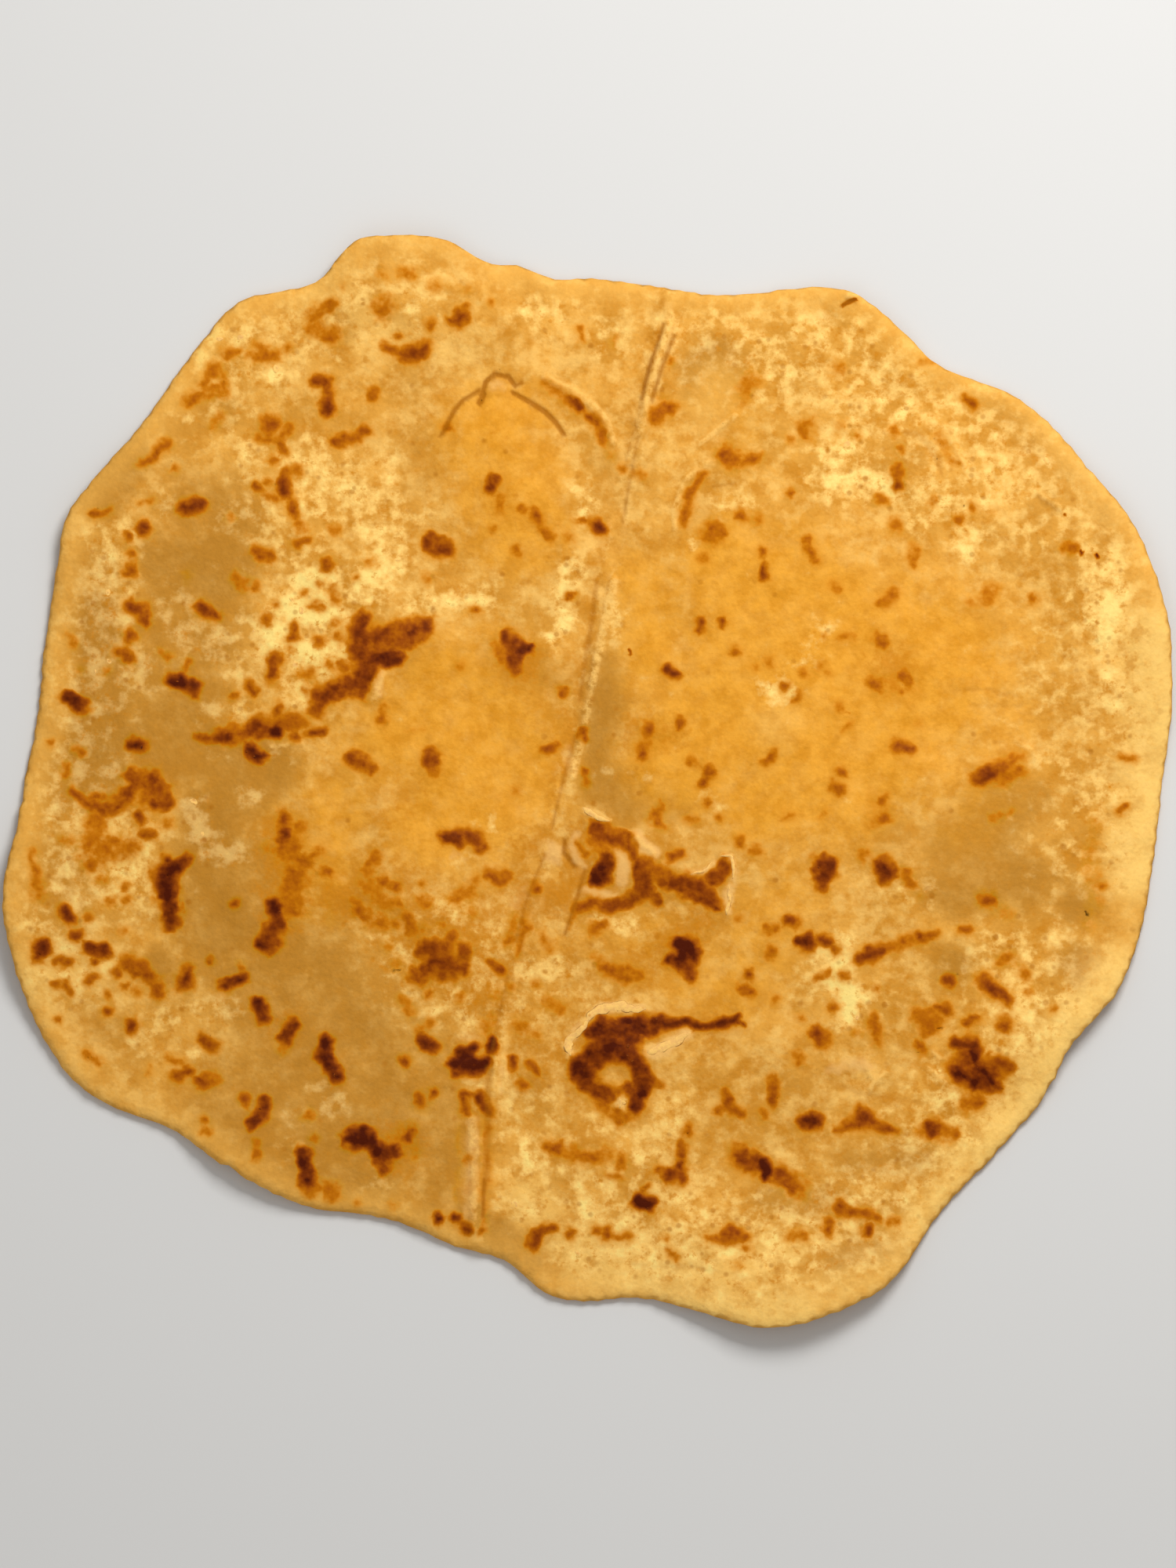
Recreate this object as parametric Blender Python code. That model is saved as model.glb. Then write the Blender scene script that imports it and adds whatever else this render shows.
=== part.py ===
"""A paratha: one round of layered wheat dough, fried on a flat griddle, folded in half hot and opened out again.

It lies on its underside, with +X to its right, +Y away and +Z up, in metres, and its origin is under its
middle. The bread is one closed skin: an upper and a lower sheet that share one wandering outline, joined
round the rim by a rounded edge. The sheets are discs of triangles whose straight spine is bent to the line
of the fold, so that the crease falls on a row of corners and stays sharp.
"""

import bisect
import math

import bmesh
import bpy
from mathutils import Vector, noise

HALF_WIDTH = 0.135
DOUGH = 0.0024  # thickness of the sheet away from puffs and creases
RIM_ROUND = 0.0012  # how far the rounded edge reaches in from the outline
UPPER_RINGS = 36
LOWER_RINGS = 18

# The outline, as (bearing from +X in degrees, distance from the middle as a share of HALF_WIDTH). Hand
# rolling leaves flat runs, corners and scallops, and each point here is the middle or the end of one.
OUTLINE = (
    (0, 0.980),
    (8, 1.007),
    (17, 1.032),
    (26, 1.034),
    (33, 1.017),
    (42, 1.001),
    (48, 0.960),
    (51, 0.947),
    (56, 0.956),
    (62, 0.969),
    (66, 0.948),
    (75, 0.884),
    (82, 0.876),
    (90, 0.883),
    (94, 0.886),
    (97, 0.911),
    (101, 0.927),
    (104, 0.974),
    (109, 1.009),
    (113, 1.026),
    (118, 0.992),
    (125, 1.032),
    (132, 1.013),
    (141, 0.988),
    (147, 0.997),
    (153, 1.005),
    (156, 0.989),
    (162, 0.968),
    (172, 0.948),
    (180, 0.962),
    (185, 0.981),
    (191, 1.017),
    (198, 1.028),
    (207, 1.024),
    (212, 1.006),
    (215, 0.978),
    (220, 0.927),
    (228, 0.904),
    (237, 0.872),
    (246, 0.823),
    (256, 0.832),
    (260, 0.833),
    (266, 0.887),
    (276, 0.893),
    (282, 0.937),
    (288, 0.995),
    (295, 1.011),
    (301, 1.005),
    (309, 0.951),
    (320, 0.943),
    (326, 0.947),
    (331, 0.939),
    (337, 0.968),
    (345, 0.975),
    (352, 0.972),
)

# The fold, as (y, x) from the near edge to the far one. It wavers because soft dough opens unevenly.
FOLD = (
    (-0.1090, -0.0260),
    (-0.0880, -0.0250),
    (-0.0700, -0.0235),
    (-0.0515, -0.0190),
    (-0.0350, -0.0154),
    (-0.0165, -0.0090),
    (0.0020, -0.0051),
    (0.0220, -0.0009),
    (0.0625, 0.0072),
    (0.0810, 0.0117),
    (0.1160, 0.0190),
)
FOLD_FAR_BEARING = 80.6
FOLD_NEAR_BEARING = 256.6
FOLD_SPREAD = 0.030  # how far to each side the grid gives way to the fold's bends

CREASE_DEPTH = 0.0011
CREASE_HALF_WIDTH = 0.0045
PINCH_HEIGHT = 0.0018  # at both ends the crease is pinched up into a ridge
PINCH_HALF_WIDTH = 0.0022
PINCH_FAR_Y = 0.084
PINCH_NEAR_Y = -0.066
PINCH_RUN = 0.012  # length over which the valley turns into the ridge

# The two halves arch a little off the table, one to each side of the fold, as (middle, radii, height).
HALF_ARCHES = (
    ((-0.064, -0.006), (0.054, 0.086), 0.0024),
    ((0.062, -0.004), (0.056, 0.088), 0.0026),
)

# Stretches of the rim that curl up off the table, as (bearing, half spread, both in degrees, height).
RIM_CURLS = (
    (20, 21, 0.0040),
    (61, 11, 0.0030),
    (109, 14, 0.0046),
    (150, 14, 0.0026),
    (193, 15, 0.0040),
    (229, 11, 0.0024),
    (292, 17, 0.0052),
    (334, 13, 0.0028),
)
CURL_START = 0.73  # share of the way out from the middle where a curl leaves the table

# Pockets that steam has puffed up, and places that were pressed down, as
# (middle, radii, turn in degrees, height).
PUFFS = (
    ((-0.0200, 0.0720), (0.021, 0.027), 0, 0.0022),
    ((0.0450, 0.0560), (0.030, 0.026), 15, 0.0015),
    ((0.0160, -0.0190), (0.022, 0.012), -16, 0.0015),
    ((0.0075, -0.0660), (0.014, 0.014), 0, 0.0013),
    ((-0.0340, -0.0370), (0.018, 0.014), 20, 0.0011),
    ((0.0680, 0.0770), (0.028, 0.017), -20, 0.0010),
    ((-0.0480, 0.0300), (0.022, 0.013), 35, 0.0009),
    ((-0.1000, -0.0060), (0.020, 0.016), 30, 0.0010),
    ((0.0900, -0.0640), (0.014, 0.014), 0, 0.0011),
    ((-0.0580, -0.0460), (0.030, 0.024), 0, -0.0008),
    ((-0.0880, 0.0490), (0.022, 0.027), 0, -0.0007),
    ((-0.0830, 0.0070), (0.022, 0.018), 0, -0.0008),
    ((0.0930, 0.0120), (0.028, 0.016), -8, -0.0010),
    ((0.0700, -0.0330), (0.024, 0.014), 10, -0.0006),
)

# At the far left a lobe of dough was turned under: the upper sheet steps down to it along a chord.
LOBE_NORMAL_BEARING = 97.0
LOBE_CHORD = 0.1200
LOBE_STEP = 0.0009
LOBE_RUN = 0.0030
LOBE_BEARINGS = (98.0, 122.0)

ROLL = ((0.034, 0.00045), (0.013, 0.00022))  # uneven rolling, as (wavelength, height) pairs

CRUST_COLOUR = (0.68, 0.31, 0.05, 1.0)
CRUST_ROUGHNESS = 0.55


def through(points, at, period=None):
    """The value at `at` of a smooth curve through sorted (position, value) points, closed on itself by `period`."""
    count = len(points)
    if period:
        at %= period
    after = bisect.bisect_right([position for position, _ in points], at)

    def point(index):
        if not period:
            return points[min(max(index, 0), count - 1)]
        laps, index = divmod(index, count)
        return points[index][0] + laps * period, points[index][1]

    before, (x0, y0), (x1, y1), beyond = (point(after + step) for step in (-2, -1, 0, 1))
    if x1 <= x0:
        return y0
    share = (at - x0) / (x1 - x0)
    slope0 = (y1 - before[1]) / (x1 - before[0]) * (x1 - x0)
    slope1 = (beyond[1] - y0) / (beyond[0] - x0) * (x1 - x0)
    start = (1 + 2 * share) * (1 - share) ** 2 * y0 + share * (1 - share) ** 2 * slope0
    return start + share**2 * (3 - 2 * share) * y1 - share**2 * (1 - share) * slope1


def smoothstep(low, high, value):
    """0 up to low, 1 from high on, and an even S between them."""
    share = min(max((value - low) / (high - low), 0.0), 1.0)
    return share * share * (3 - 2 * share)


def bump(distance):
    """A rounded hump that is 1 at distance 0, and exactly 0 from distance 1 on."""
    return (1 - distance * distance) ** 2 if distance < 1 else 0.0


def outline_reach(bearing):
    """How far the outline is from the middle at a bearing in degrees."""
    return HALF_WIDTH * through(OUTLINE, bearing, 360.0)


def share_out(x, y):
    """Where a point lies between the middle, 0, and the outline, 1."""
    return math.hypot(x, y) / outline_reach(math.degrees(math.atan2(y, x)))


def dome(x, y, middle, radii, turn=0.0):
    """A hump over an ellipse, 1 at its middle and 0 outside it."""
    across, along = x - middle[0], y - middle[1]
    cos, sin = math.cos(math.radians(turn)), math.sin(math.radians(turn))
    return bump(math.hypot((across * cos + along * sin) / radii[0], (along * cos - across * sin) / radii[1]))


def bearing_gap(first, second):
    """The angle between two bearings, from 0 to 180 degrees."""
    return abs((first - second + 180) % 360 - 180)


def lift(x, y):
    """How far the underside stands off the table. It is exactly 0 wherever the bread touches down."""
    height = sum(rise * dome(x, y, middle, radii) for middle, radii, rise in HALF_ARCHES)
    bearing = math.degrees(math.atan2(y, x))
    outward = smoothstep(CURL_START, 1.0, share_out(x, y))
    for middle, spread, rise in RIM_CURLS:
        height += rise * outward * bump(bearing_gap(bearing, middle) / spread)
    return height


def crease(x, y):
    """The fold's valley, which turns into a pinched ridge towards both ends."""
    off = abs(x - through(FOLD, y))
    ridge = max(
        smoothstep(PINCH_FAR_Y - PINCH_RUN, PINCH_FAR_Y, y),
        smoothstep(-PINCH_NEAR_Y - PINCH_RUN, -PINCH_NEAR_Y, -y),
    )
    valley = CREASE_DEPTH * math.exp(-((off / CREASE_HALF_WIDTH) ** 2))
    pinch = PINCH_HEIGHT * math.exp(-((off / PINCH_HALF_WIDTH) ** 2))
    return ridge * pinch - valley


def lobe_step(x, y):
    """The drop from the upper sheet to the lobe that is turned under."""
    normal = math.radians(LOBE_NORMAL_BEARING)
    past = x * math.cos(normal) + y * math.sin(normal) - LOBE_CHORD
    bearing = math.degrees(math.atan2(y, x))
    middle, half = sum(LOBE_BEARINGS) / 2, (LOBE_BEARINGS[1] - LOBE_BEARINGS[0]) / 2
    within = 1 - smoothstep(half - 3, half, bearing_gap(bearing, middle))
    return -LOBE_STEP * within * smoothstep(0.0, LOBE_RUN, past)


def uneven_rolling(x, y):
    """Low swells left by the rolling pin, different at each length."""
    return sum(
        height * noise.noise(Vector((x / wavelength, y / wavelength, wavelength * 100)))
        for wavelength, height in ROLL
    )


def upper_side(x, y):
    """Height of the upper sheet over the table."""
    puffed = sum(rise * dome(x, y, middle, radii, turn) for middle, radii, turn, rise in PUFFS)
    return lift(x, y) + DOUGH + puffed + crease(x, y) + lobe_step(x, y) + uneven_rolling(x, y)


def spine_x(y):
    """The grid's straight spine, from the far end of the fold to the middle and on to the near end."""
    bearing = FOLD_FAR_BEARING if y > 0 else FOLD_NEAR_BEARING
    return y / math.tan(math.radians(bearing))


def in_plan(share, bearing, inset):
    """The plan position of a grid corner, moved sideways so that the spine lies on the fold."""
    reach = share * (outline_reach(bearing) - inset)
    x, y = reach * math.cos(math.radians(bearing)), reach * math.sin(math.radians(bearing))
    near_fold = math.exp(-(((x - spine_x(y)) / FOLD_SPREAD) ** 2))
    return x + (through(FOLD, y) - spine_x(y)) * near_fold * (1 - share**4), y


def ring_bearings(step):
    """The bearings of ring number `step`, which has `step` corners in each of the disc's six sextants."""
    far, near = FOLD_FAR_BEARING, FOLD_NEAR_BEARING
    left, right = (near - far) / 3, (far + 360 - near) / 3
    corners = [far, far + left, far + 2 * left, near, near + right, near + 2 * right, far + 360]
    return [
        start + (end - start) * i / step
        for start, end in zip(corners, corners[1:])
        for i in range(step)
    ]


def add_sheet(bm, rings, inset, side):
    """Adds a disc of triangles whose heights are side(x, y), and returns its outermost ring of edges."""
    middle_x, middle_y = in_plan(0, FOLD_FAR_BEARING, inset)
    inner = [bm.verts.new((middle_x, middle_y, side(middle_x, middle_y)))]
    for step in range(1, rings + 1):
        outer = []
        for bearing in ring_bearings(step):
            x, y = in_plan(step / rings, bearing, inset)
            outer.append(bm.verts.new((x, y, side(x, y))))
        for i, corner in enumerate(outer):
            sextant, place = divmod(i, step)
            under = sextant * (step - 1) + place
            following = outer[(i + 1) % len(outer)]
            bm.faces.new((inner[under % len(inner)], corner, following))
            if place:
                bm.faces.new((inner[under - 1], corner, inner[under % len(inner)]))
        inner = outer
    return ring_edges(bm, inner)


def ring_edges(bm, verts):
    """The closed run of edges through these corners, made where they are missing."""
    found = []
    for first, second in zip(verts, verts[1:] + verts[:1]):
        found.append(bm.edges.get((first, second)) or bm.edges.new((first, second)))
    return found


def add_rim(bm):
    """Adds the outermost line of the bread, half way up its rounded edge."""
    verts = []
    for bearing in ring_bearings(UPPER_RINGS):
        x, y = in_plan(1.0, bearing, 0.0)
        verts.append(bm.verts.new((x, y, lift(x, y) + DOUGH / 2)))
    return ring_edges(bm, verts)


def dough_material():
    """Fried wheat dough: amber, and barely shiny with fat."""
    material = bpy.data.materials.new("fried_dough")
    material.use_nodes = True
    shader = material.node_tree.nodes["Principled BSDF"]
    shader.inputs["Base Color"].default_value = CRUST_COLOUR
    shader.inputs["Roughness"].default_value = CRUST_ROUGHNESS
    shader.inputs["Metallic"].default_value = 0.0
    return material


def build_paratha():
    """Makes the bread as one closed mesh, and stands it centred over the origin."""
    bm = bmesh.new()
    upper = add_sheet(bm, UPPER_RINGS, RIM_ROUND, upper_side)
    lower = add_sheet(bm, LOWER_RINGS, RIM_ROUND, lift)
    rim = add_rim(bm)
    bmesh.ops.bridge_loops(bm, edges=upper + rim)
    bmesh.ops.bridge_loops(bm, edges=rim + lower)
    bmesh.ops.triangulate(bm, faces=[face for face in bm.faces if len(face.verts) > 3])
    bmesh.ops.recalc_face_normals(bm, faces=bm.faces)
    xs, ys = ([vert.co[axis] for vert in bm.verts] for axis in (0, 1))
    to_middle = Vector((-(min(xs) + max(xs)) / 2, -(min(ys) + max(ys)) / 2, 0.0))
    bmesh.ops.translate(bm, vec=to_middle, verts=bm.verts)
    mesh = bpy.data.meshes.new("paratha")
    bm.to_mesh(mesh)
    bm.free()
    mesh.shade_smooth()
    mesh.materials.append(dough_material())
    paratha = bpy.data.objects.new("paratha", mesh)
    bpy.context.scene.collection.objects.link(paratha)
    return paratha


for leftover in list(bpy.data.objects):
    bpy.data.objects.remove(leftover)
build_paratha()
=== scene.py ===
import math

import bmesh
import bpy
import numpy as np
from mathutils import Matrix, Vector
from mathutils.bvhtree import BVHTree
from mathutils.kdtree import KDTree


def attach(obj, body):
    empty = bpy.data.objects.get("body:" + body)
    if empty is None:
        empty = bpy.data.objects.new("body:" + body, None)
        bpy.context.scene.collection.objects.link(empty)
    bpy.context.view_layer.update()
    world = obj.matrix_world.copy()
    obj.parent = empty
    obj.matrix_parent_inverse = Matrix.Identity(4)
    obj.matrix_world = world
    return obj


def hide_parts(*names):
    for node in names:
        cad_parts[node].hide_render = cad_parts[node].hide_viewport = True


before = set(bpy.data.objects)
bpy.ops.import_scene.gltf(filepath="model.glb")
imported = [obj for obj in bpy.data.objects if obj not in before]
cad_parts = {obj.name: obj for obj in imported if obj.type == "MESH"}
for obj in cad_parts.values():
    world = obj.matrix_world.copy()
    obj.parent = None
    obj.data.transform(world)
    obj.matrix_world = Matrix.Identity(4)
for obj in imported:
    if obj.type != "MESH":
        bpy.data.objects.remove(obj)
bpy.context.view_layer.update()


# The rolled round. A paratha is one round of wheat dough, layered with fat, rolled out by hand and fried
# on a flat griddle. Its skin is a copy of the solid, merged, cut finer and rounded off, so that it can
# carry the small relief of a crust: blisters, torn skin, grooves and wrinkles.

MM = 0.001
MERGE = 0.002 * MM  # corners of the solid that are nearer than this are one

dough = bmesh.new()
dough.from_mesh(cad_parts["paratha"].data)
bmesh.ops.remove_doubles(dough, verts=dough.verts, dist=MERGE)
dough.verts.index_update()
dough.normal_update()


# What the crust is drawn with. Every mark is a stroke: how strong it is, then one or more points
# (x, y, radius) in millimetres from the middle of the bread, with +X to its right and +Y away. A stroke of
# one point is a round spot. No edge is straight: strokes lie on a plane that wanders.

CELLS = 256  # cells of noise each way before it repeats
FAR_OFF = 1e6  # mm, farther than any stroke
BLOTS = ((0.85, 2.3, 5), (0.55, 1.2, 6))  # how an edge wanders: share, size in mm and seed


def smooth_rise(low, high, value):
    """0 up to low, 1 from high on, and an even S between them."""
    share = np.clip((value - low) / (high - low), 0.0, 1.0)
    return share * share * (3 - 2 * share)


def wander(x, y, size, seed):
    """Smooth noise from -1 to 1 over the plane, with swells of this size."""
    heights = np.random.default_rng(seed).uniform(-1, 1, (CELLS, CELLS))
    across, along = x / size, y / size
    column, row = np.floor(across).astype(int), np.floor(along).astype(int)
    u, v = across - column, along - row
    u, v = u * u * (3 - 2 * u), v * v * (3 - 2 * v)

    def height(right, up):
        return heights[(column + right) % CELLS, (row + up) % CELLS]

    near = height(0, 0) * (1 - u) + height(1, 0) * u
    far = height(0, 1) * (1 - u) + height(1, 1) * u
    return near * (1 - v) + far * v


def swells(x, y, layers, ground=0.0):
    """Several sizes of smooth noise, each given as (height, size, seed), laid one by one on the ground."""
    return sum((height * wander(x, y, size, seed) for height, size, seed in layers), ground)


def past_edge(x, y, points):
    """How far each place is outside a stroke, and the stroke's own radius there."""
    outside, radius = np.full_like(x, FAR_OFF), np.zeros_like(x)
    for first, second in zip(points, points[1:] or points):
        dx, dy = second[0] - first[0], second[1] - first[1]
        length = dx * dx + dy * dy
        along = np.clip(((x - first[0]) * dx + (y - first[1]) * dy) / length, 0, 1) if length else 0 * x
        wide = first[2] + (second[2] - first[2]) * along
        gap = np.hypot(x - first[0] - dx * along, y - first[1] - dy * along) - wide
        radius = np.where(gap < outside, wide, radius)
        outside = np.minimum(gap, outside)
    return outside, radius


def beside(x, y, points, reach):
    """Which places are inside the box round a stroke, grown by its radius and this reach."""
    reach += max(point[2] for point in points)
    inside = np.full(x.shape, True)
    for axis, row in ((0, x), (1, y)):
        inside &= row > min(point[axis] for point in points) - reach
        inside &= row < max(point[axis] for point in points) + reach
    return inside


def painted(x, y, strokes, edge, share=0.0, blot=0.0, grown=0.0):
    """The strongest stroke at each place. Its edge fades over `edge` mm and `share` of its radius, each
    way, wanders in and out by `blot` of its radius, and lies `grown` mm outside what is drawn."""
    field = np.zeros_like(x)
    swell = blot * swells(x, y, BLOTS)
    for strength, *points in strokes:
        near = beside(x, y, points, edge + grown + (share + blot) * max(point[2] for point in points))
        if near.any():
            outside, radius = past_edge(x[near], y[near], points)
            outside -= swell[near] * radius + grown
            fade = edge + share * radius
            field[near] = np.maximum(field[near], strength * smooth_rise(-fade, fade, -outside))
    return field


# The browned spots. Dough blisters where it steams, and the tops of the blisters are what the griddle
# browns, from orange through red-brown to nearly black.

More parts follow.
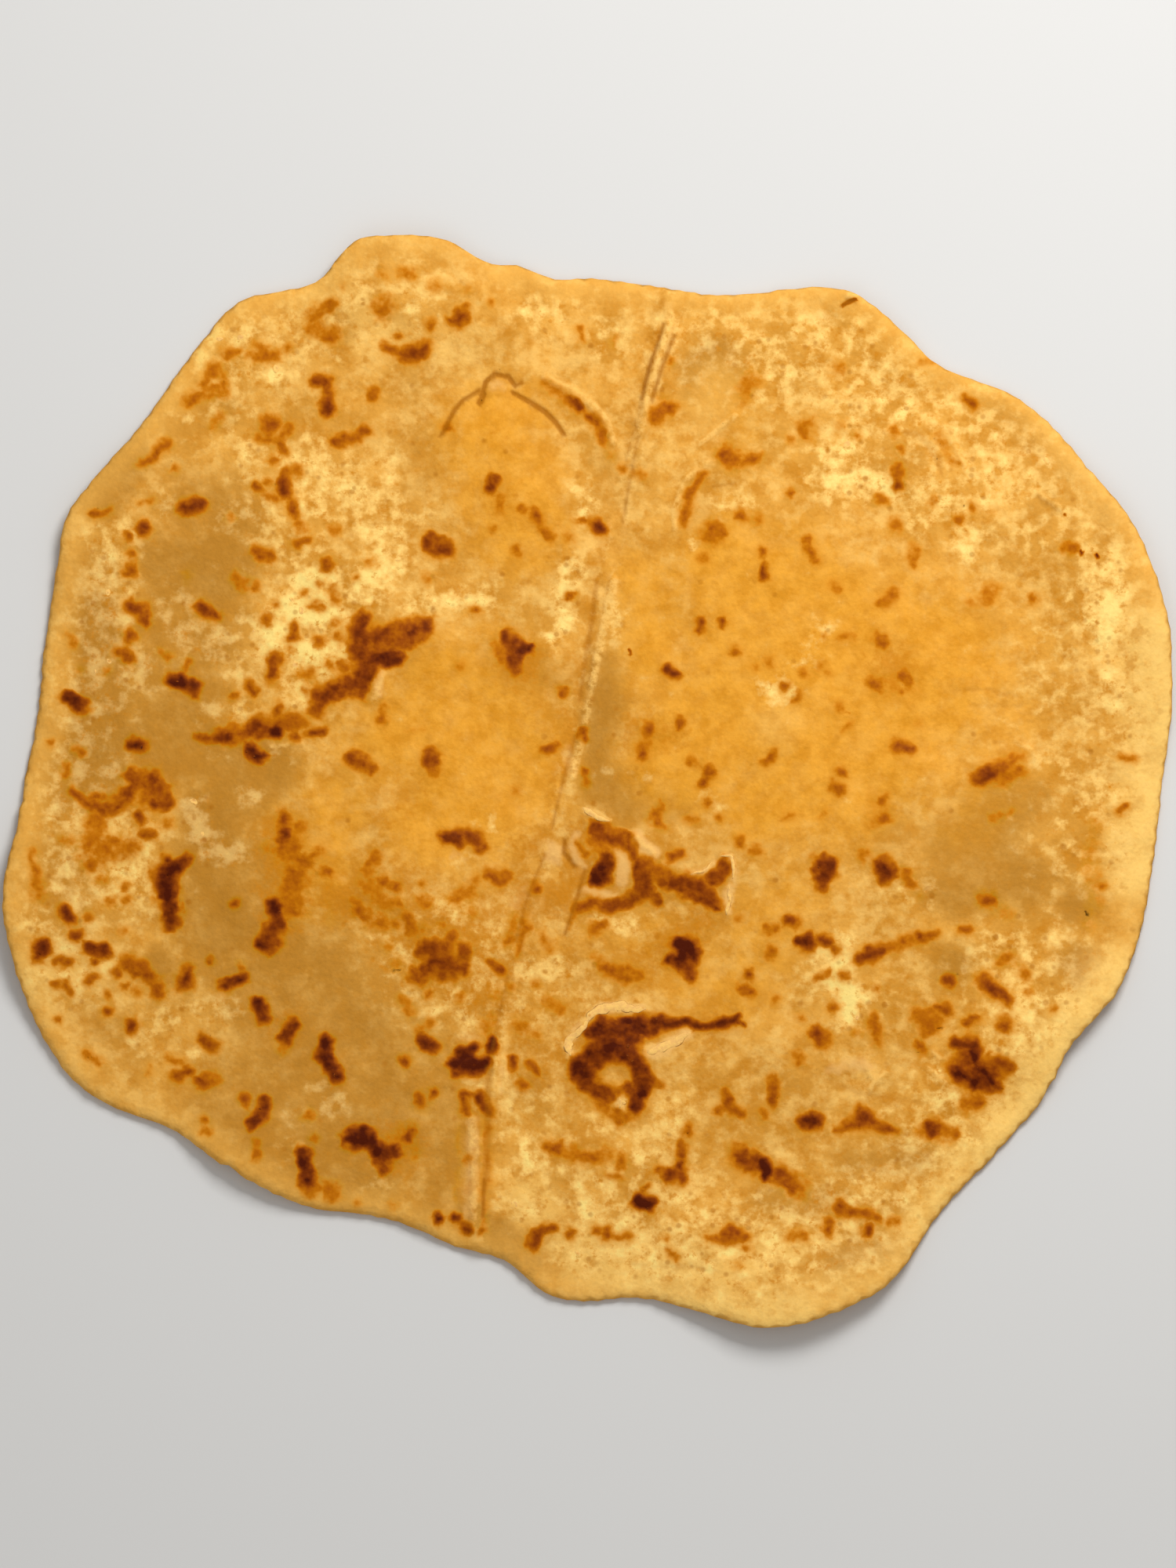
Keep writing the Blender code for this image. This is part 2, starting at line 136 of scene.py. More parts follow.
BROWNED = (
    # far left
    (0.42, (-64, 110.5, 1.5), (-59.5, 112.5, 1.6)),
    (0.44, (-63.5, 107.5, 1.7), (-58.5, 106, 1.9)),
    (0.42, (-47, 112, 2.6)),
    (0.35, (-47.5, 120, 1.0)),
    (0.38, (-43, 120, 1.0), (-41, 120, 1.2)),
    (0.26, (-57, 117, 0.9)),
    (0.45, (-47, 103, 0.9), (-43.5, 101.3, 1.4)),
    (0.66, (-42.5, 101, 1.4), (-38.8, 101.8, 1.6), (-37.6, 103.6, 1.0)),
    (0.45, (-44, 105.5, 0.9)),
    (0.38, (-84, 101.5, 1.0), (-80.5, 102.2, 0.9)),
    (0.40, (-78, 101.3, 1.4), (-73, 101, 1.5)),
    (0.36, (-77, 103.8, 0.8), (-74.5, 103, 0.8)),
    (0.35, (-69.5, 102.7, 0.9)),
    (0.42, (-92, 90.6, 1.6), (-89, 92.5, 1.6), (-86, 92.5, 1.5)),
    (0.34, (-84.5, 96, 1.0), (-83.5, 92, 1.0)),
    (0.42, (-89, 94.5, 1.1), (-86.5, 98, 1.4)),
    (0.32, (-87, 84, 0.9), (-84.5, 87, 1.1)),
    (0.66, (-63, 95.2, 0.9), (-60.5, 94.5, 1.3), (-59.8, 91.5, 0.9), (-60, 88, 1.4)),
    (0.52, (-49.5, 92, 1.3)),
    (0.58, (-57.2, 81.5, 1.6), (-53, 82, 1.2), (-51.7, 83.4, 1.4)),
    (0.55, (-73.5, 85.5, 1.9), (-74, 83, 1.4)),
    (0.46, (-76.5, 82, 0.7), (-71.5, 81.3, 0.7), (-70.4, 79, 1.1)),
    (0.52, (-69, 84, 1.0), (-70.7, 82, 0.7)),
    (0.50, (-73, 76.5, 1.2)),
    (0.52, (-66.7, 74, 1.0), (-69.5, 73.3, 0.6)),
    (0.66, (-70.3, 71.6, 1.4), (-69.9, 69, 1.3)),
    (0.40, (-69.9, 69, 0.9), (-68.3, 66.5, 0.8)),
    (0.64, (-68.2, 66, 0.8), (-67.7, 64.4, 1.0)),
    (0.58, (-76.2, 70, 0.9)),
    (0.42, (-74, 71.2, 0.6)),
    (0.42, (-72.3, 67.4, 1.0), (-74.3, 68.1, 0.7)),
    (0.42, (-66.5, 61, 1.2)),
    (0.44, (-67.2, 56.8, 1.1), (-64.5, 57.2, 0.8)),
    (0.42, (-58.2, 59.6, 1.3)),
    (0.52, (-76.3, 54.8, 1.2), (-73.5, 53.8, 1.2)),
    (0.25, (-92.5, 49.5, 1.6)),
    (0.45, (-81, 49, 1.2), (-79.5, 47, 1.2)),
    (0.44, (-77, 47, 0.9)),
    (0.80, (-93, 65.8, 1.3), (-89.9, 66, 1.5)),
    (0.72, (-102.4, 60, 1.4)),
    (0.50, (-113.8, 63.5, 0.9), (-110.5, 64.1, 0.8)),
    (0.52, (-97.8, 79.8, 1.6), (-100, 77.2, 1.0), (-103.2, 75.5, 0.8)),
    (0.48, (-106.2, 58, 0.8)),
    (0.46, (-105.5, 54.3, 0.8)),
    (0.62, (-105.6, 50.4, 1.3)),
    (0.36, (-101, 66.8, 0.7), (-103.2, 66, 0.5)),
    (0.45, (-95.2, 74.2, 0.6)),
    (0.34, (-82.5, 63, 0.8)),
    (0.56, (-60, 51.8, 1.3)),
    (0.36, (-61.7, 47, 0.9)),
    (0.34, (-58.6, 45.8, 1.0), (-58.8, 43.5, 1.0)),
    (0.42, (-65.2, 45.2, 0.7)),
    (0.33, (-53.5, 49, 0.9)),
    (0.32, (-50.5, 52.5, 1.1)),
    (0.30, (-35.2, 116.5, 1.6)),
    (0.28, (-28.5, 116.6, 1.1)),
    (0.62, (-32, 109.4, 0.8), (-30.3, 109.2, 1.7), (-28.8, 110.5, 1.5)),
    (0.52, (-36.6, 108, 1.2)),
    (0.36, (-22.5, 113.5, 0.8)),
    # far middle, with the long arc beside the fold
    (0.46, (-33, 84.5, 1.0)),
    (
        0.42, (-10, 94.4, 0.7), (-7, 92.7, 1.0), (-3, 89.6, 1.3), (0, 87.3, 1.0), (2.5, 84.5, 1.3),
        (3.8, 81, 1.1),
    ),
    (0.52, (-4.6, 91, 0.8), (-2.4, 89, 1.1), (0, 87.3, 0.8), (2.2, 84.8, 1.0)),
    (0.74, (-3.5, 89.8, 0.8), (-1.5, 88.6, 0.7)),
    (0.34, (5, 77.5, 0.9)),
    (0.38, (8, 74.8, 1.0)),
    (0.36, (12, 73.5, 1.3)),
    (0.30, (5.7, 104.5, 1.1)),
    (0.42, (-1.9, 107.3, 0.7), (-1.5, 105, 0.6)),
    (0.50, (20.4, 89.4, 0.9), (17.6, 88.8, 2.1), (15.2, 86.2, 1.4)),
    (0.46, (19.3, 100, 0.7)),
    (0.34, (37.5, 95, 2.0), (36, 90.8, 1.8)),
    (0.54, (31.6, 78.2, 2.3), (33.6, 76.6, 2.5)),
    (0.46, (36, 76, 1.6), (39.5, 77.3, 1.3)),
    (0.48, (26.5, 73.5, 0.7), (24, 69.5, 0.9), (22.5, 64.5, 1.0), (22, 61, 0.7)),
    (0.56, (29, 59.5, 2.3)),
    (0.36, (26.5, 53.7, 1.4)),
    (0.54, (35.5, 63.6, 1.2)),
    (0.36, (39.5, 62.5, 1.0)),
    (0.70, (2.2, 61.7, 1.1), (3.4, 60.5, 1.1)),
    (0.42, (-3, 62.2, 0.4), (-0.8, 62.3, 0.4)),
    (0.75, (-22.4, 69.8, 1.2), (-21.3, 71.8, 0.7)),
    (0.36, (-20, 67, 1.1), (-20, 64, 1.2)),
    (0.46, (-15, 64.2, 0.9)),
    (0.46, (-12.5, 63.8, 1.0), (-11, 60.8, 1.2), (-9, 58.6, 1.4)),
    (0.42, (-16.6, 54.6, 1.2)),
    (0.36, (-22.3, 60.3, 0.9)),
    (0.38, (-4.6, 59, 1.3)),
    (0.32, (-37, 48.5, 1.1)),
    (0.64, (-36.4, 57, 1.9), (-33, 55.6, 2.0)),
    (0.74, (-33.4, 55.6, 1.5)),
    (0.60, (-5, 44.2, 0.4), (-4.6, 45.4, 0.4), (-3.6, 45.4, 0.3)),
    (0.64, (40.2, 49, 1.1), (40.9, 51, 0.8)),
    (0.54, (40.6, 54.6, 0.9)),
    # right, from the far side to the middle
    (0.35, (57.5, 97.8, 1.4)),
    (0.28, (77, 99.8, 1.0), (79.5, 100.2, 0.9)),
    (0.62, (87.5, 91, 0.6), (89, 89.7, 0.9)),
    (0.42, (50.5, 84.2, 2.3)),
    (0.38, (47, 81.5, 1.0)),
    (0.26, (58, 84.5, 1.4)),
    (0.32, (62.5, 82.2, 0.9)),
    (0.44, (70.5, 83, 1.0)),
    (0.38, (71.8, 79, 0.7)),
    (0.58, (71, 74.2, 1.1), (71.5, 70.9, 1.5)),
    (0.40, (67.7, 67.4, 1.3)),
    (0.42, (71, 62.6, 1.1), (71.3, 60.4, 0.9)),
    (0.50, (85.2, 62.3, 1.2)),
    (0.32, (88.5, 65, 1.2)),
    (0.36, (79.5, 66.3, 0.8)),
    (0.32, (87, 59.7, 0.7)),
    (0.28, (94, 64.2, 0.8)),
    (0.30, (80.5, 83, 0.7), (83, 78.5, 0.9), (85, 75.6, 0.7)),
    (0.46, (46.8, 68.4, 1.1)),
    (0.46, (50.3, 56.8, 1.5), (51.5, 54, 1.3), (53, 52.3, 0.8)),
    (0.40, (75.6, 55.8, 1.0), (75, 51.8, 1.0)),
    (0.42, (70.7, 44.6, 1.2), (67, 42.6, 1.2)),
    (0.36, (56.7, 46.7, 1.3)),
    (0.33, (93, 46, 2.0), (91.3, 44, 1.6)),
    (0.30, (88.5, 42.8, 1.1)),
    (0.42, (103, 43.8, 1.1)),
    (0.46, (110.3, 55.7, 0.9), (112, 55.1, 1.2)),
    (0.52, (67.5, 33.8, 1.7)),
    (0.34, (54.5, 34.9, 0.9)),
    (0.34, (58.3, 34.8, 0.8), (61, 34.9, 1.0)),
    (0.30, (42, 29, 1.3)),
    (0.50, (72.5, 25.6, 1.6), (74, 24, 1.1)),
    (0.46, (64.8, 24, 1.0), (67, 22.4, 1.0)),
    (0.26, (66.4, 23.4, 2.6), (72.6, 24, 3.8)),
    (0.44, (72, 21.5, 0.9)),
    (0.45, (50.1, 25.8, 1.1)),
    (0.46, (45.5, 23, 1.0)),
    (0.48, (48.6, 21.6, 0.8), (47.6, 20, 0.8)),
    (0.32, (54, 28, 1.0)),
    (0.32, (56, 26, 0.7)),
    (0.34, (58, 18.1, 0.9)),
    (0.33, (60.3, 13.8, 0.9), (58.8, 12.9, 0.8)),
    (0.26, (76, 14, 1.0)),
    (0.58, (71.6, 8.8, 1.4), (74, 8.3, 1.4)),
    (0.50, (58.3, 2.7, 1.0)),
    (0.52, (56.8, -0.6, 1.2), (57.8, -1.4, 1.4)),
    (0.42, (41, 5.2, 0.9), (42.8, 7, 0.9)),
    (0.36, (45.5, -7.5, 1.4)),
    (0.30, (54, -7, 1.0)),
    (0.45, (67.5, -8.3, 1.4)),
    (0.24, (67, -4, 2.6), (66, -9, 2.8)),
    (0.46, (67.5, -4, 1.1)),
    (0.64, (89.8, 1.4, 1.4), (92.4, 2.6, 2.3), (95, 3.6, 1.7)),
    (0.42, (97, 5.5, 1.4), (99.5, 7, 1.2)),
    (0.40, (95.5, 1.4, 1.8), (99, 3.0, 1.5)),
    (0.33, (93.6, -7.7, 1.2), (97, -6, 0.7)),
    (0.52, (91.6, -27, 1.9)),
    (0.28, (93, -28.6, 1.8), (97.6, -30, 1.0)),
    (0.50, (86.8, -33.8, 1.1)),
    (0.38, (122.5, 6.5, 0.8), (126.2, 6.5, 0.7)),
    (0.55, (122.8, -6.2, 0.5), (124, -5.3, 0.6)),
    (0.40, (118, -23.5, 0.8)),
    # near right
    (0.84, (54, -19.6, 2.8)),
    (0.64, (54, -21.6, 2.0), (54, -24, 1.0)),
    (0.80, (67.8, -19, 1.6), (68.8, -21.4, 1.6)),
    (0.42, (73, -20.8, 1.1), (74.6, -23.5, 1.1)),
    (0.34, (76, -26.5, 0.7)),
    (0.36, (64, -17, 1.8)),
    (0.64, (45.9, -32, 0.8), (47.6, -32, 0.9)),
    (0.42, (41, -33.7, 1.0), (43, -34, 1.1)),
    (0.45, (42, -39, 1.3)),
    (0.88, (50, -36.9, 1.6)),
    (0.66, (53.7, -36, 1.1), (55.5, -37, 0.8)),
    (0.50, (56.9, -38.4, 1.1)),
    (0.66, (62.8, -41, 1.0), (65, -39.6, 1.7), (68, -38.8, 1.1)),
    (0.50, (68, -38.8, 1.2), (72, -37.2, 1.2), (76, -35.6, 1.0), (79.5, -34.7, 0.8)),
    (0.72, (76.6, -35.3, 0.8)),
    (0.46, (52.5, -45.2, 0.7), (55, -44.2, 0.7)),
    (0.42, (58.5, -44.8, 1.1)),
    (0.40, (43, -50.5, 1.0)),
    (0.36, (48.8, -54.5, 1.4)),
    (0.44, (56, -52.3, 1.1)),
    (0.40, (66, -47.5, 0.9)),
    (0.62, (52, -58.6, 1.6), (53.7, -59.2, 1.6)),
    (0.45, (48.3, -64, 1.7)),
    (0.40, (65.6, -55, 1.2), (66.2, -60.4, 0.9)),
    (0.34, (61.6, -58.3, 1.0)),
    (0.62, (82.8, -45.4, 1.3)),
    (0.40, (94.5, -41.2, 1.2), (97, -40.5, 1.2)),
    (0.42, (99.8, -43.3, 0.9), (100.8, -44.7, 0.9)),
    (0.66, (91, -45.9, 1.5), (93, -47.9, 1.6), (96.3, -50.6, 1.0)),
    (0.52, (80.3, -52, 1.0), (83, -52.6, 0.9)),
    (0.45, (76, -53.5, 2.0), (79.5, -55, 2.2), (78, -57.7, 1.3)),
    (0.62, (76.5, -61.5, 1.4)),
    (0.56, (86.6, -56, 1.1), (89, -54.6, 1.1)),
    (0.60, (95.6, -56.3, 1.5)),
    (0.32, (107, -52.5, 0.9)),
    (0.30, (101.5, -48.5, 1.2)),
    (0.62, (86.6, -61.4, 2.4), (88, -66, 3.4), (92.4, -67.4, 3.0)),
    (0.78, (84.3, -60.6, 1.2), (88.3, -60.9, 1.6), (88, -64.5, 1.7)),
    (0.76, (83.5, -66, 1.0), (86.5, -68, 2.0), (89.5, -68.2, 3.0), (93.5, -70.2, 1.6)),
    (1.00, (85, -67.4, 0.7), (88.7, -69.6, 0.8)),
    (1.02, (87.7, -62.4, 0.7), (89.6, -65.8, 0.7), (93.8, -70.8, 0.6)),
    (0.58, (91, -65.5, 1.6), (96, -65.8, 1.5)),
    (0.46, (89, -73, 2.0), (86.8, -75, 1.5)),
    (0.84, (49.8, -78.6, 1.3), (52.3, -78.9, 1.4)),
    (0.74, (63.4, -76.9, 1.5), (64.4, -78.3, 1.4)),
    (0.52, (57, -80.4, 0.6), (61, -79.2, 1.3), (66, -79.1, 1.4), (71, -81, 0.7)),
    (0.78, (79, -80.6, 1.5)),
    (0.42, (76.5, -80.5, 1.2), (80, -80.5, 2.4), (84, -81.7, 1.4)),
    (0.60, (35.2, -87, 2.9), (39, -88.8, 2.4), (41, -90.4, 1.6)),
    (1.02, (40.4, -88.3, 1.2), (41, -91, 1.2)),
    (0.54, (44.4, -91.4, 2.4), (48, -94, 2.6)),
    (0.54, (58, -98.8, 1.6), (62, -100, 1.2), (65.6, -101.3, 0.9)),
    (0.66, (64, -104, 1.1)),
    (0.50, (55.4, -102.2, 1.2), (54.8, -104.3, 1.1)),
    (0.48, (69.3, -102, 0.9), (70.8, -102.2, 0.8)),
    (0.42, (46, -105.6, 0.8), (49.3, -105.6, 1.1)),
    (0.58, (33.3, -105, 1.8), (31, -106.3, 1.4)),
    (0.45, (27.8, -105.5, 0.8), (30, -105.8, 0.8)),
    (0.52, (35.6, -105.6, 1.2)),
    (0.46, (36.4, -108.2, 0.8)),
    (0.54, (31.5, -71.5, 0.8), (32, -74, 1.2), (35, -76.9, 0.9)),
    (0.64, (30, -75.6, 0.8)),
    (0.54, (42.3, -68.3, 0.8), (42.9, -71.5, 1.2), (42.4, -74, 0.9)),
    (0.44, (40.6, -76.6, 1.2)),
    (0.58, (37, -44.3, 1.0)),
    (0.56, (35.2, -46.9, 0.7), (37.6, -48.6, 0.9)),
    (0.46, (34.8, -12.2, 0.9), (35, -13.6, 1.0)),
    (0.40, (38.5, -15.5, 1.2)),
    (0.36, (34.2, -31.2, 1.0)),
    # middle, and a few beyond it
    (0.62, (25.8, 38.6, 0.8), (25.8, 36.4, 0.8)),
    (0.60, (31, 38.6, 1.0)),
    (0.66, (17.8, 26.8, 0.9), (20, 26, 0.9)),
    (0.40, (34, 31.3, 1.0)),
    (0.28, (38.4, 27.6, 1.1)),
    (0.46, (13.2, 13, 1.8)),
    (0.30, (12.6, 10, 2.4)),
    (0.44, (12.8, 7.4, 1.9)),
    (0.56, (13.1, 7.2, 1.1)),
    (0.50, (21.2, 15, 1.4)),
    (0.24, (17, 11, 2.6)),
    (0.38, (24.2, 5.4, 1.5)),
    (0.60, (26.8, 0.6, 1.0), (28.2, 2.6, 1.7)),
    (0.54, (27.8, -4.2, 0.9)),
    (0.38, (23, -7.7, 0.9), (25.4, -7.7, 0.7)),
    (0.40, (30, -7.6, 0.8)),
    (0.45, (17, -5, 1.0), (14.4, -7.6, 1.1), (17.6, -9.8, 0.9)),
    (0.30, (-16.5, -1, 1.1)),
    (0.64, (-1.3, 13, 0.8), (-1.3, 11, 0.7)),
    (0.60, (-9.3, 8.3, 0.9), (-7.4, 9.2, 0.7)),
    (0.46, (-0.9, 3.8, 0.7), (-0.7, 0.8, 0.7)),
    (0.56, (-6, 22.2, 1.0)),
    (0.62, (-18.6, 35, 1.4), (-16, 32, 3.0), (-17, 28.6, 1.6)),
    (0.86, (-15.2, 32, 1.9)),
    (0.40, (-20, 31.4, 2.6)),
    (0.56, (-17, 27, 1.3)),
    (0.26, (-29, 28, 1.2)),
    (0.60, (-25.9, 41.3, 0.8)),
    (0.62, (-36, 6.2, 1.8)),
    (0.42, (-35.4, 3.2, 1.4)),
    (0.38, (-47.4, 18.3, 0.9), (-47.6, 14.8, 1.4)),
    (0.26, (-41.5, 12.9, 0.6), (-37.8, 13, 0.6)),
    (0.80, (-33, -12, 1.3), (-30.5, -12.6, 1.4)),
    (0.60, (-30, -12, 1.5), (-25.6, -12.4, 1.6), (-25.4, -14.6, 1.2)),
    (0.52, (-22.8, -20.8, 1.3), (-20, -21.6, 1.7)),
    (0.38, (-26, -22.2, 1.5)),
    (0.54, (-11.8, -23.6, 1.1)),
    (0.48, (-14, -33, 0.8)),
    (0.56, (-47, -22.6, 1.2)),
    (0.55, (-44.2, -24.2, 1.4)),
    (0.34, (-38.5, -23.4, 0.9)),
    (0.44, (-41.6, -31.2, 1.4), (-40.6, -34, 1.2)),
    (0.42, (-38, -33.6, 1.0)),
    (0.42, (-38.6, -26.4, 1.0), (-37.4, -28, 1.3)),
    (0.38, (-43.5, -28, 1.6)),
    (0.34, (-46, -38, 1.2)),
    (0.32, (-44, -42, 1.2)),
    (0.38, (-33.8, -33, 1.2)),
    (0.36, (-26.5, -30, 1.1)),
    (0.36, (-27, -25, 1.4)),
    (0.42, (-54.6, -27.6, 1.3), (-51.6, -30, 2.0)),
    (0.44, (-48, -32, 1.8)),
    (0.38, (-44.6, -32.8, 1.3)),
    (0.46, (-49, -17, 1.1), (-50.4, -20, 1.5)),
    (0.36, (-50, -24, 2.6), (-46, -28, 2.0)),
    (0.38, (-14.6, -32, 0.6), (-15.6, -36, 0.8), (-16.4, -40, 0.5)),
    (0.34, (-11, -35, 1.2), (-9, -38, 1.6)),
    (0.34, (-9, -50.4, 1.6), (-6, -52, 1.2)),
    (0.36, (-17, -31, 1.0), (-18.6, -36, 1.4)),
    (0.36, (-30.4, -26.6, 1.3), (-26.6, -23.6, 1.2)),
    (0.30, (-18, -47.4, 1.2)),
    (0.32, (-16, -56, 1.8)),
    (0.34, (-12, -46, 1.0)),
    (0.32, (-12, -58, 1.4)),
    (0.34, (-36, -55, 1.0), (-39, -57, 1.0)),
    (0.34, (-22, -54, 0.8), (-24, -56.6, 1.2)),
    (0.34, (-43, -50, 0.8), (-41, -53, 0.9)),
    (0.36, (-21.8, -49, 0.9)),
    (0.56, (-31.5, -35.2, 1.5)),
    (0.64, (-36.4, -38.8, 2.5), (-33, -41, 3.2), (-29.8, -42.4, 2.6)),
    (0.52, (-29, -40.5, 2.0)),
    (0.56, (-36, -42, 2.6), (-31, -44, 1.6)),
    (0.68, (-39.3, -44.2, 1.8), (-36, -42.3, 1.6)),
    (0.55, (-28.4, -38.6, 1.8)),
    (0.46, (-36.7, -49, 1.0)),
    (0.38, (-29.7, -49.7, 1.0)),
    (0.58, (-22, -42, 0.7), (-20.2, -43.6, 0.9)),
    (0.50, (4, -43, 1.6), (8, -44.6, 2.1), (11.4, -44, 1.0)),
    (0.46, (0.6, -33.8, 1.4), (3.4, -32.6, 1.0)),
    (0.22, (116.8, -8, 1.4), (116.4, -14, 1.6), (114.8, -18.8, 1.7), (117.4, -24, 1.9), (115.4, -33, 1.5)),
    (0.42, (-69, -13, 2.8), (-67.5, -19, 4.2), (-68, -27, 3.8), (-70.5, -31, 3.2)),
    (0.20, (-60, -24, 4.4), (-58, -30, 3.6)),
    (0.32, (-43, -84, 4.0)),
    (0.34, (1.6, -40, 1.0), (4, -42, 1.0)),
    # middle left
    (0.58, (-105.6, 41.9, 1.5), (-102.2, 41.2, 1.6), (-101.6, 38.4, 1.2)),
    (0.66, (-89.2, 42, 1.3), (-86, 40.2, 1.1)),
    (0.58, (-105.6, 35, 1.3)),
    (0.58, (-109, 31.4, 1.1), (-105.4, 29.8, 1.0)),
    (0.38, (-119.4, 35, 1.0), (-118.8, 33, 0.8)),
    (0.42, (-98.8, 31.2, 0.8), (-96.4, 29.8, 0.8)),
    (0.34, (-117, 27.6, 0.7)),
    (0.38, (-110.6, 27, 0.8)),
    (0.84, (-95.8, 24.3, 1.4), (-93.4, 24.2, 1.7), (-91.4, 23, 1.5)),
    (0.46, (-92.6, 26.5, 0.7), (-92, 29.6, 0.7)),
    (0.54, (-78.4, 23.4, 1.0), (-76.8, 21.8, 1.0)),
    (0.45, (-81.3, 21, 1.0)),
    (0.84, (-119.6, 20.8, 1.4), (-117, 18.6, 1.5)),
    (0.62, (-90.2, 11.4, 0.4), (-86, 11, 1.0), (-82, 11.8, 1.9), (-77, 12.8, 1.8), (-72, 12.8, 1.9)),
    (0.50, (-74, 14, 2.0), (-68, 14.4, 1.9), (-65.4, 14.4, 1.0)),
    (0.84, (-82.4, 11.4, 1.2)),
    (1.05, (-71.9, 12.3, 1.2)),
    (0.54, (-67.6, 11.4, 1.2)),
    (0.66, (-64, 12.2, 1.0), (-61.4, 12.7, 1.0)),
    (0.98, (-77.8, 8, 1.1), (-76, 6.8, 1.2)),
    (0.78, (-104.8, 9.8, 1.3), (-102.6, 9.4, 1.0)),
    (0.46, (-117.6, 8.6, 0.7), (-116.4, 7.5, 0.7)),
    (0.42, (-120, 4.6, 0.8), (-120, 2.2, 0.8)),
    (0.32, (-123.5, 10, 0.7)),
    (0.60, (-118.6, -1.4, 0.7), (-115, -4.6, 1.1), (-111, -6, 1.3), (-106, -3, 1.9), (-103, 1, 2.6)),
    (0.60, (-104, 1.5, 2.6), (-99.5, 0, 2.6), (-97.6, -4, 1.9)),
    (0.44, (-101, -1.5, 4.4)),
    (0.40, (-113, -8, 2.0), (-113.6, -15, 3.2), (-106, -14.6, 2.4)),
    (0.54, (-103.5, 2.4, 1.4), (-99.5, 1.5, 1.8), (-98.3, -1.6, 1.5), (-98.6, -4.6, 1.5)),
    (0.78, (-108.4, -4.6, 0.8)),
    (0.78, (-99.8, -4.2, 0.9)),
    (0.50, (-114.5, -3, 0.8), (-111, -3.2, 0.7)),
    (0.60, (-103.7, -6.8, 0.9), (-102.4, -8.4, 0.9)),
    (0.58, (-102.3, -11.8, 0.9), (-100.4, -11.9, 0.9)),
    (0.42, (-97, -9.5, 1.3)),
    (0.38, (-113, -9.5, 1.4), (-113.4, -13.5, 1.3), (-112, -17.5, 1.9), (-114.5, -19, 1.4)),
    (0.38, (-112, -17, 1.5), (-106, -15.2, 1.7), (-104, -14.4, 1.4)),
    (0.44, (-112.4, -22, 1.2)),
    (0.40, (-128, -15.5, 0.7), (-127.2, -20, 1.0), (-126.2, -25.8, 1.7)),
    (0.80, (-96.5, -17.8, 1.2)),
    (
        0.86, (-92.2, -17.6, 1.0), (-97.2, -20.6, 2.1), (-96.8, -26, 2.2), (-95.8, -29.5, 2.0),
        (-96, -32.2, 1.5),
    ),
    (1.04, (-97.3, -22, 1.2), (-96.5, -27, 1.3)),
    (0.54, (-81.3, -27.9, 1.5)),
    (0.95, (-72, -28.9, 1.7)),
    (0.70, (-71.4, -30, 1.8), (-71, -32.4, 1.9), (-73.5, -37, 2.2)),
    (0.86, (-75.2, -37.3, 1.1)),
    (0.82, (-69.9, -10.4, 0.9), (-70, -12, 0.9)),
    (0.52, (-70.2, -7.6, 1.5), (-70, -13, 1.8)),
    (0.42, (-66.8, -10.4, 1.6)),
    (0.42, (-65, -17.6, 1.9), (-61.6, -15.6, 1.4)),
    (0.30, (-74, -15, 1.2), (-72, -18, 1.4)),
    (0.50, (-60.6, -20.4, 1.1)),
    (0.56, (-53.4, 6.2, 1.8), (-50.4, 5, 1.3), (-49.4, 3, 0.8)),
    (0.45, (-106.6, -23.8, 0.8)),
    (0.45, (-106, -26.6, 0.8)),
    (0.36, (-109.4, -27, 1.2)),
    (0.80, (-120.9, -29.8, 1.2), (-119.2, -31.2, 1.2)),
    (0.46, (-115.3, -31, 0.9)),
    (0.66, (-117.5, -35.4, 1.1)),
    (0.33, (-107, -34.5, 1.3)),
    (0.36, (-121, -12.8, 0.6), (-118.4, -12.8, 0.6)),
    # the large branched mark left of the fold
    (0.70, (-52.2, 39.6, 1.4), (-52.5, 36, 2.3), (-52.2, 32.5, 3.1), (-51.6, 27.4, 2.6), (-52, 23.6, 2.2)),
    (0.60, (-51, 31, 2.8), (-47, 32, 2.8), (-43, 34.4, 2.4), (-39.6, 36, 2.1), (-37.2, 37.2, 1.5)),
    (0.58, (-48, 34.4, 3.2), (-43, 35.8, 2.6), (-39.6, 37, 1.6)),
    (0.86, (-50, 29.8, 1.8), (-44.8, 29.6, 1.9)),
    (0.82, (-41.4, 35.4, 1.0), (-37.6, 37, 1.0)),
    (0.62, (-52.4, 23, 2.4), (-57, 22.8, 3.0), (-61, 20.8, 2.3), (-62.6, 17.4, 1.5)),
    (0.80, (-58.4, 22.6, 1.3), (-55.6, 22.8, 1.0)),
    # small ones in the dry patch beside it
    (0.48, (-74, 39, 1.1)),
    (0.40, (-72, 42.5, 0.8)),
    (0.54, (-67.6, 37, 0.8), (-68.2, 34.4, 1.2)),
    (0.44, (-62, 33.6, 1.2)),
    (0.40, (-61.4, 42, 0.9), (-64, 42.5, 0.7)),
    (0.40, (-58.5, 38.2, 1.1)),
    (0.46, (-57.4, 34.6, 1.0)),
    (0.58, (-72, 29, 1.6), (-72.6, 25.4, 1.2)),
    (0.44, (-68.4, 32, 0.7)),
    (0.38, (-64.6, 26, 1.5)),
    (0.36, (-60, 28.2, 1.2)),
    (0.44, (-56.4, 28, 1.6)),
    (0.46, (-71.2, 18, 1.0), (-72, 15.6, 0.9)),
    (0.38, (-65, 22, 1.1)),
    # near left
    (0.86, (-125.8, -38.6, 1.9)),
    (0.80, (-113.8, -38.5, 1.2), (-111.6, -39, 1.5)),
    (0.72, (-113.6, -41.6, 0.6)),
    (0.46, (-122.5, -41.5, 0.9), (-119.6, -41.6, 0.8)),
